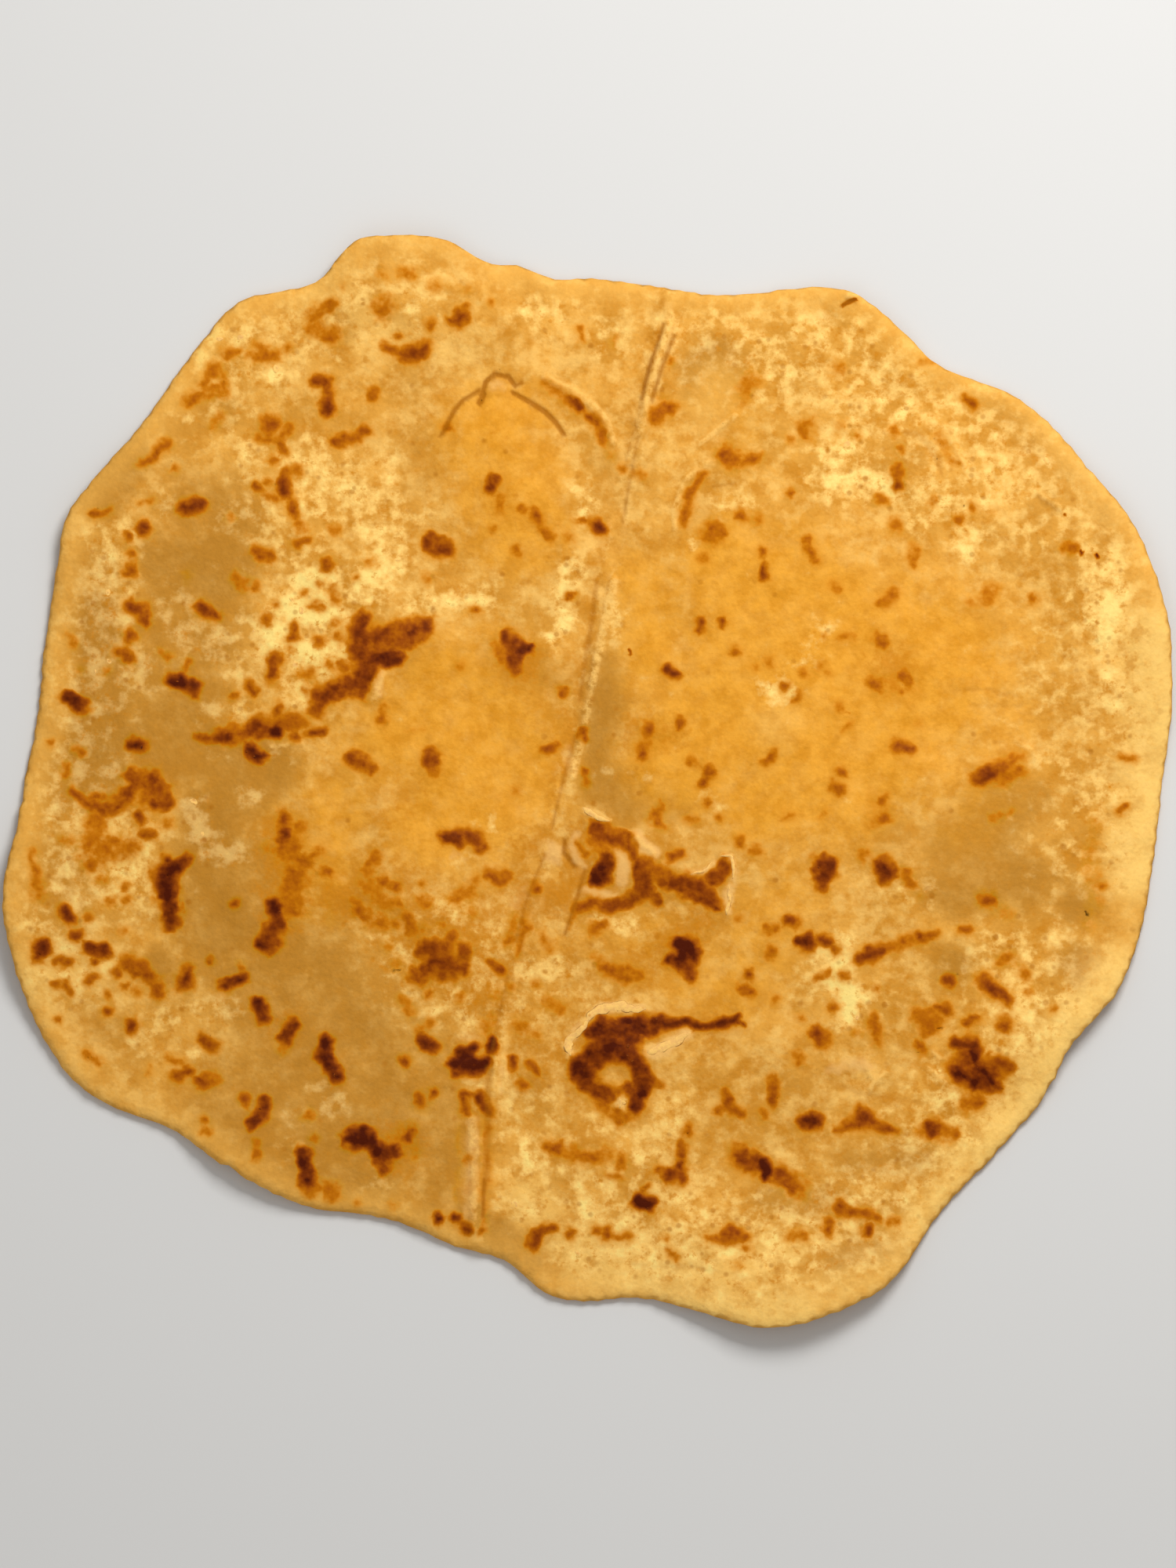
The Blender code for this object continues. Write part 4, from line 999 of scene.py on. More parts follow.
BURST = (
    (0.62, (1.4, -9.4, 1.3), (3.6, -11.4, 2.3), (7.8, -12.4, 2.4), (9.6, -14.4, 1.3), (10.8, -17.6, 1.0)),
    (0.44, (2, -13, 2.2), (4.2, -16, 1.6)),
    (0.42, (-2.4, -13.4, 0.6), (-0.6, -16, 1.0)),
    (1.00, (2.8, -21.2, 2.4)),
    (0.78, (3.6, -19, 1.9), (4.4, -17, 1.1)),
    (0.66, (11.8, -18.8, 1.8), (12.8, -21.6, 2.6), (12, -24.6, 2.4), (9.4, -26.9, 1.6), (5, -28.3, 1.4)),
    (0.62, (5, -28.3, 1.4), (1, -27.2, 1.1), (-2.2, -28.6, 1.3)),
    (0.36, (-2.6, -29.6, 1.0), (-3.8, -31.8, 0.5), (-5, -34, 0.3)),
    (0.64, (14.2, -24.6, 1.3), (15.8, -27, 1.2)),
    (0.56, (13, -18.6, 2.0), (16.4, -20.8, 2.3), (19.2, -22.8, 2.5)),
    (0.60, (19.2, -17.6, 1.1), (21.2, -16.6, 1.0)),
    (0.72, (19.8, -22.8, 1.5), (23, -23.9, 2.7), (26.6, -25.9, 2.7), (29.6, -28.2, 1.6)),
    (0.90, (29.8, -28.6, 1.0)),
    (0.72, (31.2, -19.2, 1.7), (29.2, -21.8, 1.8)),
    # the crescent and the ring under it
    (0.86, (0.8, -57.8, 2.0), (5, -56.8, 2.6), (9, -56.4, 2.8), (13.6, -56.8, 2.6), (17, -55.8, 1.7)),
    (0.84, (17, -55.8, 1.6), (21, -55.3, 1.0), (27, -56.4, 0.7), (33, -55.2, 0.8)),
    (0.84, (33, -55.2, 0.8), (34.6, -53.8, 0.6)),
    (0.80, (33, -55.2, 0.7), (35.4, -56.2, 0.5)),
    (0.84, (3.4, -59.8, 2.0), (8, -60.2, 2.2), (11.4, -59.6, 1.6)),
    (0.84, (-1.2, -66, 3.0), (1.2, -63.2, 2.6), (5.5, -62.2, 2.3), (10, -63, 2.2)),
    (0.80, (10, -63, 2.2), (12.2, -66.5, 2.3), (12.9, -69.6, 2.6), (11.4, -72, 2.2), (11.2, -75, 1.6)),
    (0.68, (-1.2, -66.4, 3.0), (0.4, -69.4, 2.5), (3, -71.4, 2.1), (4.8, -73.2, 1.5)),
    (0.80, (8.6, -70.8, 1.2), (10.6, -72, 1.5)),
    (0.50, (3.4, -70.8, 1.5), (6.2, -71.4, 1.3), (9, -71, 1.3)),
    (0.50, (13.5, -69.4, 2.0), (16.4, -70, 1.4)),
    (0.44, (2, -74, 1.2), (4.4, -76, 1.4), (7, -78, 1.7), (9.4, -77, 1.3)),
    (1.08, (-2.2, -66.4, 1.8)),
    (1.04, (12, -72.2, 1.4)),
    (1.04, (5, -61.2, 1.6)),
    (1.08, (9.2, -55.4, 1.2)),
    (1.06, (15, -55.6, 1.2)),
)

LIPS = (
    ((-1, -5.2, 0.4), (0.2, -6.4, 0.8), (2.4, -7.4, 0.9), (5, -8.4, 0.5)),
    ((23.6, -21.4, 0.4), (26.4, -20.4, 0.5), (28.4, -18.4, 0.4)),
    ((30.2, -17, 0.3), (32.9, -17, 0.5), (33.5, -20, 0.5), (32.9, -22, 0.3)),
    ((32.4, -23.4, 0.4), (32.9, -26.6, 0.7), (31.7, -30.2, 0.5)),
    (
        (-4, -63.4, 1.0), (-4.6, -61, 1.4), (-3.6, -59, 1.3), (-1.6, -57, 0.7),
        (0, -53.6, 1.0), (3, -52, 1.3), (8, -51.4, 1.4), (13.4, -52.4, 0.9),
    ),
    ((13.8, -62.6, 1.4), (17, -61.2, 1.8), (20, -59.8, 1.4), (23.4, -58, 0.8)),
    ((7.4, -73, 0.7), (7.6, -75.6, 0.9)),
)


# Thin skin. Where steam lifted the skin without breaking it, it dried pale and half see-through.

THIN = (
    (0.9, (7, -15.2, 1.2), (8.4, -18.6, 1.8), (7.6, -22.6, 1.6)),
    (0.8, (0, -24.4, 0.9), (3, -25.8, 1.1), (6, -25.6, 1.1)),
    (0.8, (-2.2, -11.2, 0.9), (-4.2, -14.2, 1.1), (-3, -17.2, 1.0), (-0.8, -19, 0.8)),
    (1.0, (8, -10.2, 0.8), (11.6, -13, 1.8), (15.2, -16, 1.8)),
    (0.7, (22.8, -21, 0.9), (26, -20.6, 1.1), (28.6, -18.2, 0.9)),
    (0.8, (32.4, -17, 0.9), (33.4, -20.6, 0.9), (32.7, -25, 1.2), (32, -29.6, 0.9)),
    (0.9, (-4.4, -62.6, 0.9), (-3.8, -59.6, 1.4), (-1.6, -56.2, 0.9)),
    (0.9, (0.6, -53.4, 1.2), (3.8, -52, 1.7), (8, -51.2, 1.3), (12, -52, 0.8)),
    (0.9, (13.6, -63, 1.3), (17, -61.4, 1.6), (20, -59.6, 1.6), (23.4, -57.8, 1.2)),
    (0.7, (55.5, -66.6, 1.2), (60, -65.2, 2.1), (64.4, -65.4, 1.4)),
    (0.9, (-48.3, 20.6, 0.8), (-48.2, 23.6, 1.3), (-48, 26, 0.8)),
    (0.7, (-31.4, -16.6, 1.0), (-28, -17.4, 0.8)),
    (0.5, (-4, 3.6, 1.4), (-5, 8, 1.4)),
    (0.5, (-14, -23.4, 1.2), (-17, -27.6, 1.5)),
    (0.6, (-21, 93.4, 2.0)),
    (0.8, (7.4, -74.4, 1.2)),
    (0.7, (-26.4, -79, 1.5), (-26.4, -90, 1.5), (-27.6, -100, 1.4)),
    (0.6, (-19.8, -64, 0.8), (-19.6, -72, 0.8)),
    (0.5, (-29.6, -58.4, 1.2), (-25.4, -58.6, 1.0)),
    (0.9, (-9, -13, 1.1), (-8.4, -15.4, 1.9), (-7.2, -17.4, 1.1)),
)

# Burnt specks, no larger than a grain of semolina.

SPECKS = (
    (1.0, (114, 54.2, 0.35), (113.4, 54.8, 0.3)),
    (1.0, (117.2, 53.8, 0.35), (117.8, 53, 0.3)),
    (0.7, (110, 63.3, 0.35)),
    (1.0, (9.5, 32, 0.35), (10, 30.8, 0.35)),
    (0.6, (60, 16.6, 0.35)),
    (0.5, (120, -0.4, 0.4)),
    (0.7, (56.4, 111.4, 0.3)),
    (0.9, (58.8, 112.6, 0.3), (60.4, 113.4, 0.5), (61.8, 114, 0.35)),
)


# The skin is cut finest where an outline crosses it, and hardly at all on the plain stretches. After the
# first rounds it is also smoothed, which takes the facets of the solid out without shrinking it.

FINEST = 0.50  # how long an edge may be where an outline crosses it, in mm
COARSEST = 2.3  # and on the plain stretches
UNDERSIDE = 2.6  # and on the underside
COARSER_AWAY = 0.55  # how much longer it may be for every mm from an outline
TOO_LONG = 1.3  # an edge is cut when it is so many times what is wanted
ROUNDS = 5
SMOOTHED_ROUNDS = 2
TOWARDS, BACK = 0.5, -0.52  # how far smoothing draws a corner to its neighbours, and away from them again
SAME_PLACE = 0.004  # corners nearer than this, in mm, are in one place
DRAWN = (BROWNED, BURST, RIDGES, GROOVES, SPECKS)


def places_of(dough):
    """The corners of the dough, in millimetres, as three rows."""
    return np.array([corner.co for corner in dough.verts]).T / MM


def facing_of(dough):
    """How far up each corner faces, from 1 on the top to -1 on the underside."""
    return np.array([corner.normal.z for corner in dough.verts])


def ends_of(dough):
    """The numbers of the corners at the ends of each edge, as two rows."""
    return np.array([[corner.index for corner in edge.verts] for edge in dough.edges]).T


def move_corners(dough, places):
    """Puts the corners of the dough at these places, in millimetres, as three rows."""
    for corner, spot in zip(dough.verts, places.T * MM):
        corner.co = spot


def to_outline(x, y, lists, farthest):
    """How far each place is from the nearest outline drawn, up to the farthest that matters."""
    nearest = np.full_like(x, farthest)
    for strokes in lists:
        for _, *points in strokes:
            near = beside(x, y, points, farthest)
            if near.any():
                outside, _ = past_edge(x[near], y[near], points)
                nearest[near] = np.minimum(nearest[near], np.abs(outside))
    return nearest


def cut_where_wanted(dough):
    """Cuts in two every edge that is longer than its place allows."""
    x, y, z = places_of(dough)
    first, second = ends_of(dough)
    length = np.sqrt(sum((row[first] - row[second]) ** 2 for row in (x, y, z)))
    middle_x, middle_y = (x[first] + x[second]) / 2, (y[first] + y[second]) / 2
    away = to_outline(middle_x, middle_y, DRAWN, COARSEST / COARSER_AWAY)
    wanted = np.minimum(FINEST + COARSER_AWAY * away, COARSEST)
    facing = facing_of(dough)
    wanted = np.where(facing[first] + facing[second] < 0, UNDERSIDE, wanted)
    dough.edges.ensure_lookup_table()
    long = [dough.edges[number] for number in np.flatnonzero(length > TOO_LONG * wanted)]
    bmesh.ops.subdivide_edges(dough, edges=long, cuts=1, use_grid_fill=True)
    bmesh.ops.triangulate(dough, faces=[face for face in dough.faces if len(face.verts) > 3])
    # Here and there the cutting leaves two corners in one place, or a sliver folded onto itself. These are
    # joined and taken out.
    bmesh.ops.remove_doubles(dough, verts=dough.verts, dist=SAME_PLACE * MM)
    folded = [corner for corner in dough.verts if len(corner.link_faces) == 2]
    bmesh.ops.delete(dough, geom=folded, context="VERTS")
    dough.verts.index_update()
    dough.normal_update()


def smooth_out(dough, passes=2):
    """Draws every corner towards its neighbours and then a little more back, so that nothing shrinks."""
    places = places_of(dough)
    first, second = ends_of(dough)
    count = np.bincount(np.concatenate((first, second)), minlength=places.shape[1])
    for factor in (TOWARDS, BACK) * passes:
        for row in places:
            near = np.bincount(first, row[second], row.size) + np.bincount(second, row[first], row.size)
            row += factor * (near / count - row)
    move_corners(dough, places)


for number in range(ROUNDS):
    cut_where_wanted(dough)
    if number < SMOOTHED_ROUNDS:
        smooth_out(dough)


# What each part of the skin carries. The marks are painted with a hand that shakes a little, on the upper
# side alone. The underside was fried first: it gets the same kind of marks, strewn by rule.

TURNED = (0.15, 0.6)  # a skin that faces so far up, or down, begins to be the one side, and wholly is
RIM_FACING = 0.3  # the skin that faces less far up or down than this is the rim
LAID_NEARER = 0.9  # how far the drawing lies towards the near edge, in mm
SHAKE_ACROSS = ((0.50, 3.2, 11), (0.36, 1.4, 12))
SHAKE_ALONG = ((0.50, 3.2, 13), (0.36, 1.4, 14))

x, y, z = places_of(dough)
dough.normal_update()
facing = facing_of(dough)
upper = smooth_rise(*TURNED, facing)
lower = smooth_rise(*TURNED, -facing)
drawn_y = y + LAID_NEARER
shaken_x = swells(x, y, SHAKE_ACROSS, x)
shaken_y = swells(x, y, SHAKE_ALONG, drawn_y)

rim_corners = np.flatnonzero(np.abs(facing) < RIM_FACING)
rim_tree = KDTree(len(rim_corners))
for number in rim_corners:
    rim_tree.insert((x[number], y[number], 0), number)
rim_tree.balance()
from_rim = np.array([rim_tree.find((spot_x, spot_y, 0))[2] for spot_x, spot_y in zip(x, y)])


def upper_marks(strokes, edge, **shape):
    """One list, painted on the upper side alone."""
    return upper * painted(shaken_x, shaken_y, strokes, edge, **shape)


UNDER_COUNT = 330  # the marks of the underside
UNDER_REACH = 122  # how far from the middle the marks lie, in mm
UNDER_DEPTH = 0.95  # the bread is a little less deep than it is wide
UNDER_RADIUS = (0.8, 2.4)
UNDER_STRENGTH = (0.3, 1.0)
chance = np.random.default_rng(71)
under_marks = []
for _ in range(UNDER_COUNT):
    bearing, reach = chance.uniform(0, math.tau), UNDER_REACH * math.sqrt(chance.uniform())
    middle_x, middle_y = reach * math.cos(bearing), UNDER_DEPTH * reach * math.sin(bearing)
    lean, long = chance.uniform(0, math.tau), chance.gamma(2.0, 1.3)
    wide = chance.uniform(*UNDER_RADIUS)
    far_end = (middle_x + long * math.cos(lean), middle_y + long * math.sin(lean), 0.7 * wide)
    under_marks.append((chance.uniform(*UNDER_STRENGTH), (middle_x, middle_y, wide), far_end))

browned = 1.12 * upper_marks(BROWNED, edge=1.15, share=0.46, blot=0.36, grown=0.46)
browned = np.maximum(browned, 1.05 * upper_marks(BURST, edge=1.0, share=0.25, blot=0.25, grown=0.30))
charred = np.maximum(browned, upper * painted(x, drawn_y, SPECKS, edge=0.40))
scorched = upper_marks(BROWNED + BURST, edge=2.6, share=0.5, blot=0.3, grown=0.6)
browned = np.maximum(charred, lower * painted(shaken_x, shaken_y, under_marks, edge=1.2))
burst = upper_marks(BURST, edge=0.5)
dry = 1.12 * upper_marks(DRY, edge=3.0, share=0.65)
oily = upper_marks(OILY, edge=6.0, share=0.4)
dull_and_shaded = upper_marks(DULL_AND_SHADED, edge=4.0, share=0.4)
toasted = upper_marks(TOASTED, edge=2.5, share=0.6)
pale_and_lit = upper_marks(PALE_AND_LIT, edge=5.0, share=0.3)
thin = upper_marks(THIN, edge=0.9, share=0.3, blot=0.4)
grooved = upper * painted(x, drawn_y, GROOVES, edge=0.70, grown=0.12)
ridged = upper * painted(x, drawn_y, RIDGES, edge=0.7, grown=0.15)
lipped = upper_marks([(1.0, *line) for line in LIPS], edge=0.6, share=0.3, blot=0.5)
rim = smooth_rise(9.0, 1.0, from_rim)
side = smooth_rise(0.45, 0.85, 1 - np.abs(facing))
flaking = np.where(browned > 0.05, 0.0, dry * (0.75 + 0.45 * wander(x, y, 2.6, 45)))
dry = np.maximum(dry, lower * 0.45)


# The relief of the crust, all in millimetres: domed blisters under the browned spots, a crackle along the
# fold, lips and pits where blisters burst, and the unevenness that a rolling pin leaves.

FOLD = (
    (-109.0, -26.0),
    (-88.0, -25.0),
    (-70.0, -23.5),
    (-51.5, -19.0),
    (-35.0, -15.4),
    (-16.5, -9.0),
    (2.0, -5.1),
    (22.0, -0.9),
    (62.5, 7.2),
    (81.0, 11.7),
    (116.0, 19.0),
)
# Uneven skin, as swells of (height, size, seed): of the dry patches, from the rolling pin, and at the rim.
FLAKY = ((1.0, 1.5, 21), (0.5, 0.8, 22))
ROLLED = ((0.30, 9.0, 25), (0.15, 4.3, 26), (0.06, 2.0, 27))
UNEVEN_RIM = ((0.22, 3.4, 31), (0.10, 1.5, 32))


def band(off, half):
    """1 where `off` is 0, falling away smoothly to both sides of it."""
    return np.exp(-((off / half) ** 2))


fold_y, fold_x = zip(*FOLD)
from_fold = x - np.interp(y, fold_y, fold_x)
beside_fold = upper * band(from_fold, 3.4)
along_fold = 0.55 + 0.45 * wander(0 * x, y, 7.0, 41)
crease = upper * along_fold * band(from_fold - 1.3 - 0.5 * wander(x, y, 4.0, 42), 0.7)
fold_shade = upper * band(from_fold + 1.8 + 0.8 * wander(x, y, 6.0, 43), 1.8)

# The pits of the burst blisters, the domes of whole ones, and the nicks in the rim, with their heights.
PITS = ((1.0, (4, -18, 1.2)), (1.0, (6.4, -67.8, 2.0)))
DOMES = (
    (0.45, (57, -66, 1.8), (63, -65, 1.9)),
    (0.35, (-48.2, 21, 1.2), (-48, 25.4, 1.5)),
    (0.30, (-21, 93.6, 2.2)),
    (0.30, (117.5, 35.5, 1.7)),
    (0.40, (92, 3, 3.0), (100, 7, 2.4)),
)
NICKS = (
    (1.3, (106.5, -71, 1.2)),
    (1.0, (113.5, -57, 1.0)),
    (0.9, (119.5, -52.5, 0.9)),
    (0.8, (-82, -90, 1.2)),
)
UNDER_RELIEF = 0.6  # the marks of the underside stand so much of the height of the upper ones

relief = 0.24 * upper_marks(BROWNED, edge=1.1, share=0.5)
relief += 0.22 * upper_marks(BURST, edge=1.0, share=0.3) - 0.10 * burst
relief += 1.5 * ridged
relief -= 0.5 * grooved
relief += 0.30 * lipped
relief += 0.10 * dry * swells(x, y, FLAKY)
relief += 0.22 * crease - 0.10 * fold_shade
relief += 0.16 * beside_fold * (wander(x, 0.45 * y, 1.2, 23) + 0.6 * wander(x, y, 0.9, 24))
relief += swells(x, y, ROLLED)
relief -= 0.30 * painted(x, drawn_y, PITS, edge=1.2)
relief += painted(x, drawn_y, DOMES, edge=0.6, share=0.5)

edge_roll = swells(x, y, UNEVEN_RIM) - painted(x, drawn_y, NICKS, edge=1.0)
outward = (1 - np.abs(facing)) * band(from_rim, 2.0)
bearing = np.arctan2(y, x)
raised = np.where(facing > 0, upper * relief, lower * np.abs(relief) * UNDER_RELIEF)
x_new = x + outward * edge_roll * np.cos(bearing)
y_new = y + outward * edge_roll * np.sin(bearing)
z_new = np.maximum(z + raised, 0.0)
move_corners(dough, np.array((x_new, y_new, z_new)))


def new_piece(name, mesh):
    """Puts a mesh into the scene as an object of its own."""
    piece = bpy.data.objects.new(name, mesh)
    bpy.context.scene.collection.objects.link(piece)
    return piece


crust_mesh = bpy.data.meshes.new("paratha_crust")
dough.to_mesh(crust_mesh)
crust_tree = BVHTree.FromBMesh(dough)
dough.free()
crust_mesh.shade_smooth()
CARRIED = {
    "browned": browned,
    "scorched": scorched,
    "charred": charred,
    "dry": dry,
    "flaking": flaking,
    "oily": oily,
    "dull_and_shaded": dull_and_shaded,
    "toasted": toasted,
    "pale_and_lit": pale_and_lit,
    "thin": thin,
    "grooved": grooved,
    "ridged": ridged,
    "lipped": lipped,
    "rim": rim,
    "side": side,
    "fold": beside_fold,
    "crease": crease,
    "fold_shade": fold_shade,
}
for name, field in CARRIED.items():
    crust_mesh.attributes.new(name, "FLOAT", "POINT").data.foreach_set("value", field.astype(np.float32))
crust = new_piece("paratha_crust", crust_mesh)


# The finish of the crust: amber where the fat ran in, tan where it did not, floury cream on the dry skin,
# and browned from orange to nearly black. The fine grain and the ragged edges are worked out by the nodes.

GLOSS_VEIL = 0.004  # what the gloss of the fat adds to every colour
DARKEST, LIGHTEST = 0.002, 0.92  # how little and how much light dough can throw back
DOUGH_IOR = 1.42


def place(tree, kind, inputs, **settings):
    """Adds one node. `inputs` says what goes into each socket: another node's output, or a value."""
    made = tree.nodes.new(kind)
    for name, value in settings.items():
        setattr(made, name, value)
    for socket, value in inputs.items():
        if isinstance(value, bpy.types.NodeSocket):
            tree.links.new(value, made.inputs[socket])
        else:
            made.inputs[socket].default_value = value
    return made


def reckon(tree, operation, *values):
    """One sum of numbers or sockets."""
    return place(tree, "ShaderNodeMath", dict(enumerate(values)), operation=operation).outputs[0]


def rise(tree, value, low, high):
    """0 up to low, 1 from high on, and an even S between them."""
    inputs = {"Value": value, "From Min": low, "From Max": high}
    return place(tree, "ShaderNodeMapRange", inputs, interpolation_type="SMOOTHSTEP").outputs[0]


def blend(tree, share, under_it, over_it, how="MIX"):
    """One colour laid over another, wholly where the share is 1."""
    inputs = {0: share, 6: under_it, 7: over_it}
    return place(tree, "ShaderNodeMix", inputs, data_type="RGBA", blend_type=how).outputs[2]


def noise(tree, where, size_mm, detail, roughness):
    """Uneven tone from 0 to 1 with blots of this size, finer blots in them, and finer still."""
    inputs = {"Vector": where, "Scale": 1 / (size_mm * MM), "Detail": detail, "Roughness": roughness}
    return place(tree, "ShaderNodeTexNoise", inputs).outputs[0]


def new_group(name, inputs, outputs, tree_kind="ShaderNodeTree"):
    """An empty group with these sockets. It returns the group and the sockets at its two ends."""
    group = bpy.data.node_groups.new(name, tree_kind)
    for socket, kind in inputs.items():
        group.interface.new_socket(socket, in_out="INPUT", socket_type="NodeSocket" + kind)
    for socket, kind in outputs.items():
        group.interface.new_socket(socket, in_out="OUTPUT", socket_type="NodeSocket" + kind)
    return group, group.nodes.new("NodeGroupInput").outputs, group.nodes.new("NodeGroupOutput").inputs


def use(tree, group, inputs):
    """The outputs of a group that is set to work in this tree."""
    return place(tree, "ShaderNodeGroup", inputs, node_tree=group).outputs


def new_finish(name):
    """An empty material, its tree, and the place on the piece for its nodes."""
    made = bpy.data.materials.new(name)
    made.use_nodes = True
    made.node_tree.nodes.clear()
    return made, made.node_tree, place(made.node_tree, "ShaderNodeTexCoord", {}).outputs["Object"]


def close_finish(tree, looks, grain, strength, height_mm):
    """The surface: what it looks like, and how high its grain stands."""
    bump = {"Height": grain["Height"], "Strength": strength, "Distance": height_mm * MM}
    bump = place(tree, "ShaderNodeBump", bump).outputs[0]
    skin = place(tree, "ShaderNodeBsdfPrincipled", {**looks, "IOR": DOUGH_IOR, "Normal": bump})
    place(tree, "ShaderNodeOutputMaterial", {"Surface": skin.outputs[0]})


def as_seen(red, green, blue):
    """The reflectance of a colour given as it looks in even light, each channel from 0 to 255, less what
    the gloss of the fat adds to it."""
    linear = [((level / 255 + 0.055) / 1.055) ** 2.4 - GLOSS_VEIL for level in (red, green, blue)]
    return (*(min(max(level, DARKEST), LIGHTEST) for level in linear), 1.0)


# A mask whose edge is torn by noise.
ragged_mask, given, put = new_group(
    "ragged mask",
    {"Amount": "Float", "Coordinate": "Vector", "Grain": "Float", "Reach": "Float", "Edge": "Float"},
    {"Mask": "Float"},
)
inputs = {"Vector": given["Coordinate"], "Scale": given["Grain"], "Detail": 5.0, "Roughness": 0.62}
torn_edge = place(ragged_mask, "ShaderNodeTexNoise", inputs).outputs[0]
swing = reckon(ragged_mask, "SUBTRACT", torn_edge, 0.5)
swing = reckon(ragged_mask, "MULTIPLY", swing, given["Reach"])
level = reckon(ragged_mask, "ADD", given["Amount"], swing)
lowest = reckon(ragged_mask, "SUBTRACT", 0.5, given["Edge"])
highest = reckon(ragged_mask, "ADD", 0.5, given["Edge"])
ragged_mask.links.new(rise(ragged_mask, level, lowest, highest), put["Mask"])

# Small round dots, one in each of a share of the cells.
freckles, given, put = new_group(
    "freckles",
    {"Coordinate": "Vector", "Spacing": "Float", "Size": "Float", "Share": "Float"},
    {"Mask": "Float"},
)
inputs = {"Vector": given["Coordinate"], "Scale": given["Spacing"]}
cell = place(freckles, "ShaderNodeTexVoronoi", inputs)
full_at = reckon(freckles, "MULTIPLY", given["Size"], 0.35)
dot = rise(freckles, cell.outputs["Distance"], given["Size"], full_at)
pick = place(freckles, "ShaderNodeSeparateColor", {"Color": cell.outputs["Color"]}).outputs[0]
chosen = reckon(freckles, "LESS_THAN", pick, given["Share"])
freckles.links.new(reckon(freckles, "MULTIPLY", dot, chosen), put["Mask"])

# The grain of dried dough: uneven, with pores in it.
dough_grain, given, put = new_group(
    "dough grain", {"Coordinate": "Vector", "Size": "Float"}, {"Height": "Float", "Tone": "Float"}
)
per_metre = reckon(dough_grain, "DIVIDE", 1.0, given["Size"])
inputs = {"Vector": given["Coordinate"], "Scale": per_metre, "Detail": 4.0, "Roughness": 0.6}
coarse = place(dough_grain, "ShaderNodeTexNoise", inputs).outputs[0]
inputs = {"Vector": given["Coordinate"], "Scale": reckon(dough_grain, "DIVIDE", 1.6, given["Size"])}
pores = place(dough_grain, "ShaderNodeTexVoronoi", inputs, feature="SMOOTH_F1").outputs["Distance"]
dough_grain.links.new(reckon(dough_grain, "MULTIPLY_ADD", pores, 0.45, coarse), put["Height"])
dough_grain.links.new(coarse, put["Tone"])

# How brown a spot looks at each depth of browning, from the first orange to the burnt black.
DEEPEST = 1.1
BROWNING = (
    (0.00, (222, 150, 50)),
    (0.20, (212, 136, 34)),
    (0.34, (194, 115, 18)),
    (0.48, (172, 94, 9)),
    (0.62, (146, 71, 6)),
    (0.76, (120, 53, 5)),
    (0.90, (97, 40, 4)),
    (1.00, (78, 30, 4)),
)
browning, given, put = new_group("browning", {"Depth": "Float"}, {"Color": "Color", "Cover": "Float"})
ramp = reckon(browning, "DIVIDE", given["Depth"], DEEPEST)
ramp = place(browning, "ShaderNodeValToRGB", {"Fac": ramp})
while len(ramp.color_ramp.elements) < len(BROWNING):
    ramp.color_ramp.elements.new(0.5)
for stop, (depth, _) in zip(ramp.color_ramp.elements, BROWNING):
    stop.position = depth
for stop, (_, colour) in zip(ramp.color_ramp.elements, BROWNING):
    stop.color = as_seen(*colour)
browning.links.new(ramp.outputs[0], put["Color"])
browning.links.new(rise(browning, given["Depth"], 0.00, 0.46), put["Cover"])

DOUGH_TONE = as_seen(223, 161, 70)
SHADE_TONE = as_seen(202, 140, 53)
DULL_AND_SHADED_TONE = as_seen(178, 121, 43)
AMBER_TONE = as_seen(230, 159, 51)
DEEP_AMBER = as_seen(212, 139, 32)
MOTTLE_AND_SHADE_TONE = as_seen(188, 117, 22)
CREAM_TONE = as_seen(243, 195, 108)
PALE_AND_LIT_TONE = as_seen(250, 202, 112)
DUSTY_AND_SHADED_TONE = as_seen(222, 176, 102)
CHALK_TONE = as_seen(255, 222, 132)
TOAST_TONE = as_seen(192, 119, 24)
HALO_TONE = as_seen(184, 112, 28)
FRECKLE_TONE = as_seen(166, 98, 16)
GROOVE_SHADE_TONE = as_seen(158, 92, 12)
LIP_TONE = as_seen(242, 192, 106)
THIN_TONE = as_seen(229, 176, 102)
RIM_TONE = as_seen(232, 174, 82)

fried_crust, tree, where = new_finish("fried_crust")


# These work in the finish that is being made, with its `tree` and `where`.
def carried(name):
    """What the skin carries under this name."""
    return place(tree, "ShaderNodeAttribute", {}, attribute_name=name).outputs["Fac"]


def ragged(amount, size_mm, reach, edge):
    """1 where the amount is well over a half, with an edge torn by blots of this size."""
    inputs = {"Amount": amount, "Coordinate": where, "Reach": reach, "Edge": edge}
    return use(tree, ragged_mask, {**inputs, "Grain": 1 / (size_mm * MM)})["Mask"]


def strewn(spacing_mm, size, share):
    """Dots so far apart, in this share of the cells."""
    inputs = {"Coordinate": where, "Spacing": 1 / (spacing_mm * MM), "Size": size, "Share": share}
    return use(tree, freckles, inputs)["Mask"]


def part_of(share, mask):
    """A mask at this share of its strength."""
    return reckon(tree, "MULTIPLY", share, mask)


def sloped(value, slope, start):
    """The start, and the value times the slope on top of it."""
    return reckon(tree, "MULTIPLY_ADD", value, slope, start)


def over(under_it, share, mask, tone, how="MIX"):
    """A colour with this tone laid over it at this share, where the mask is."""
    return blend(tree, part_of(share, mask), under_it, tone, how)


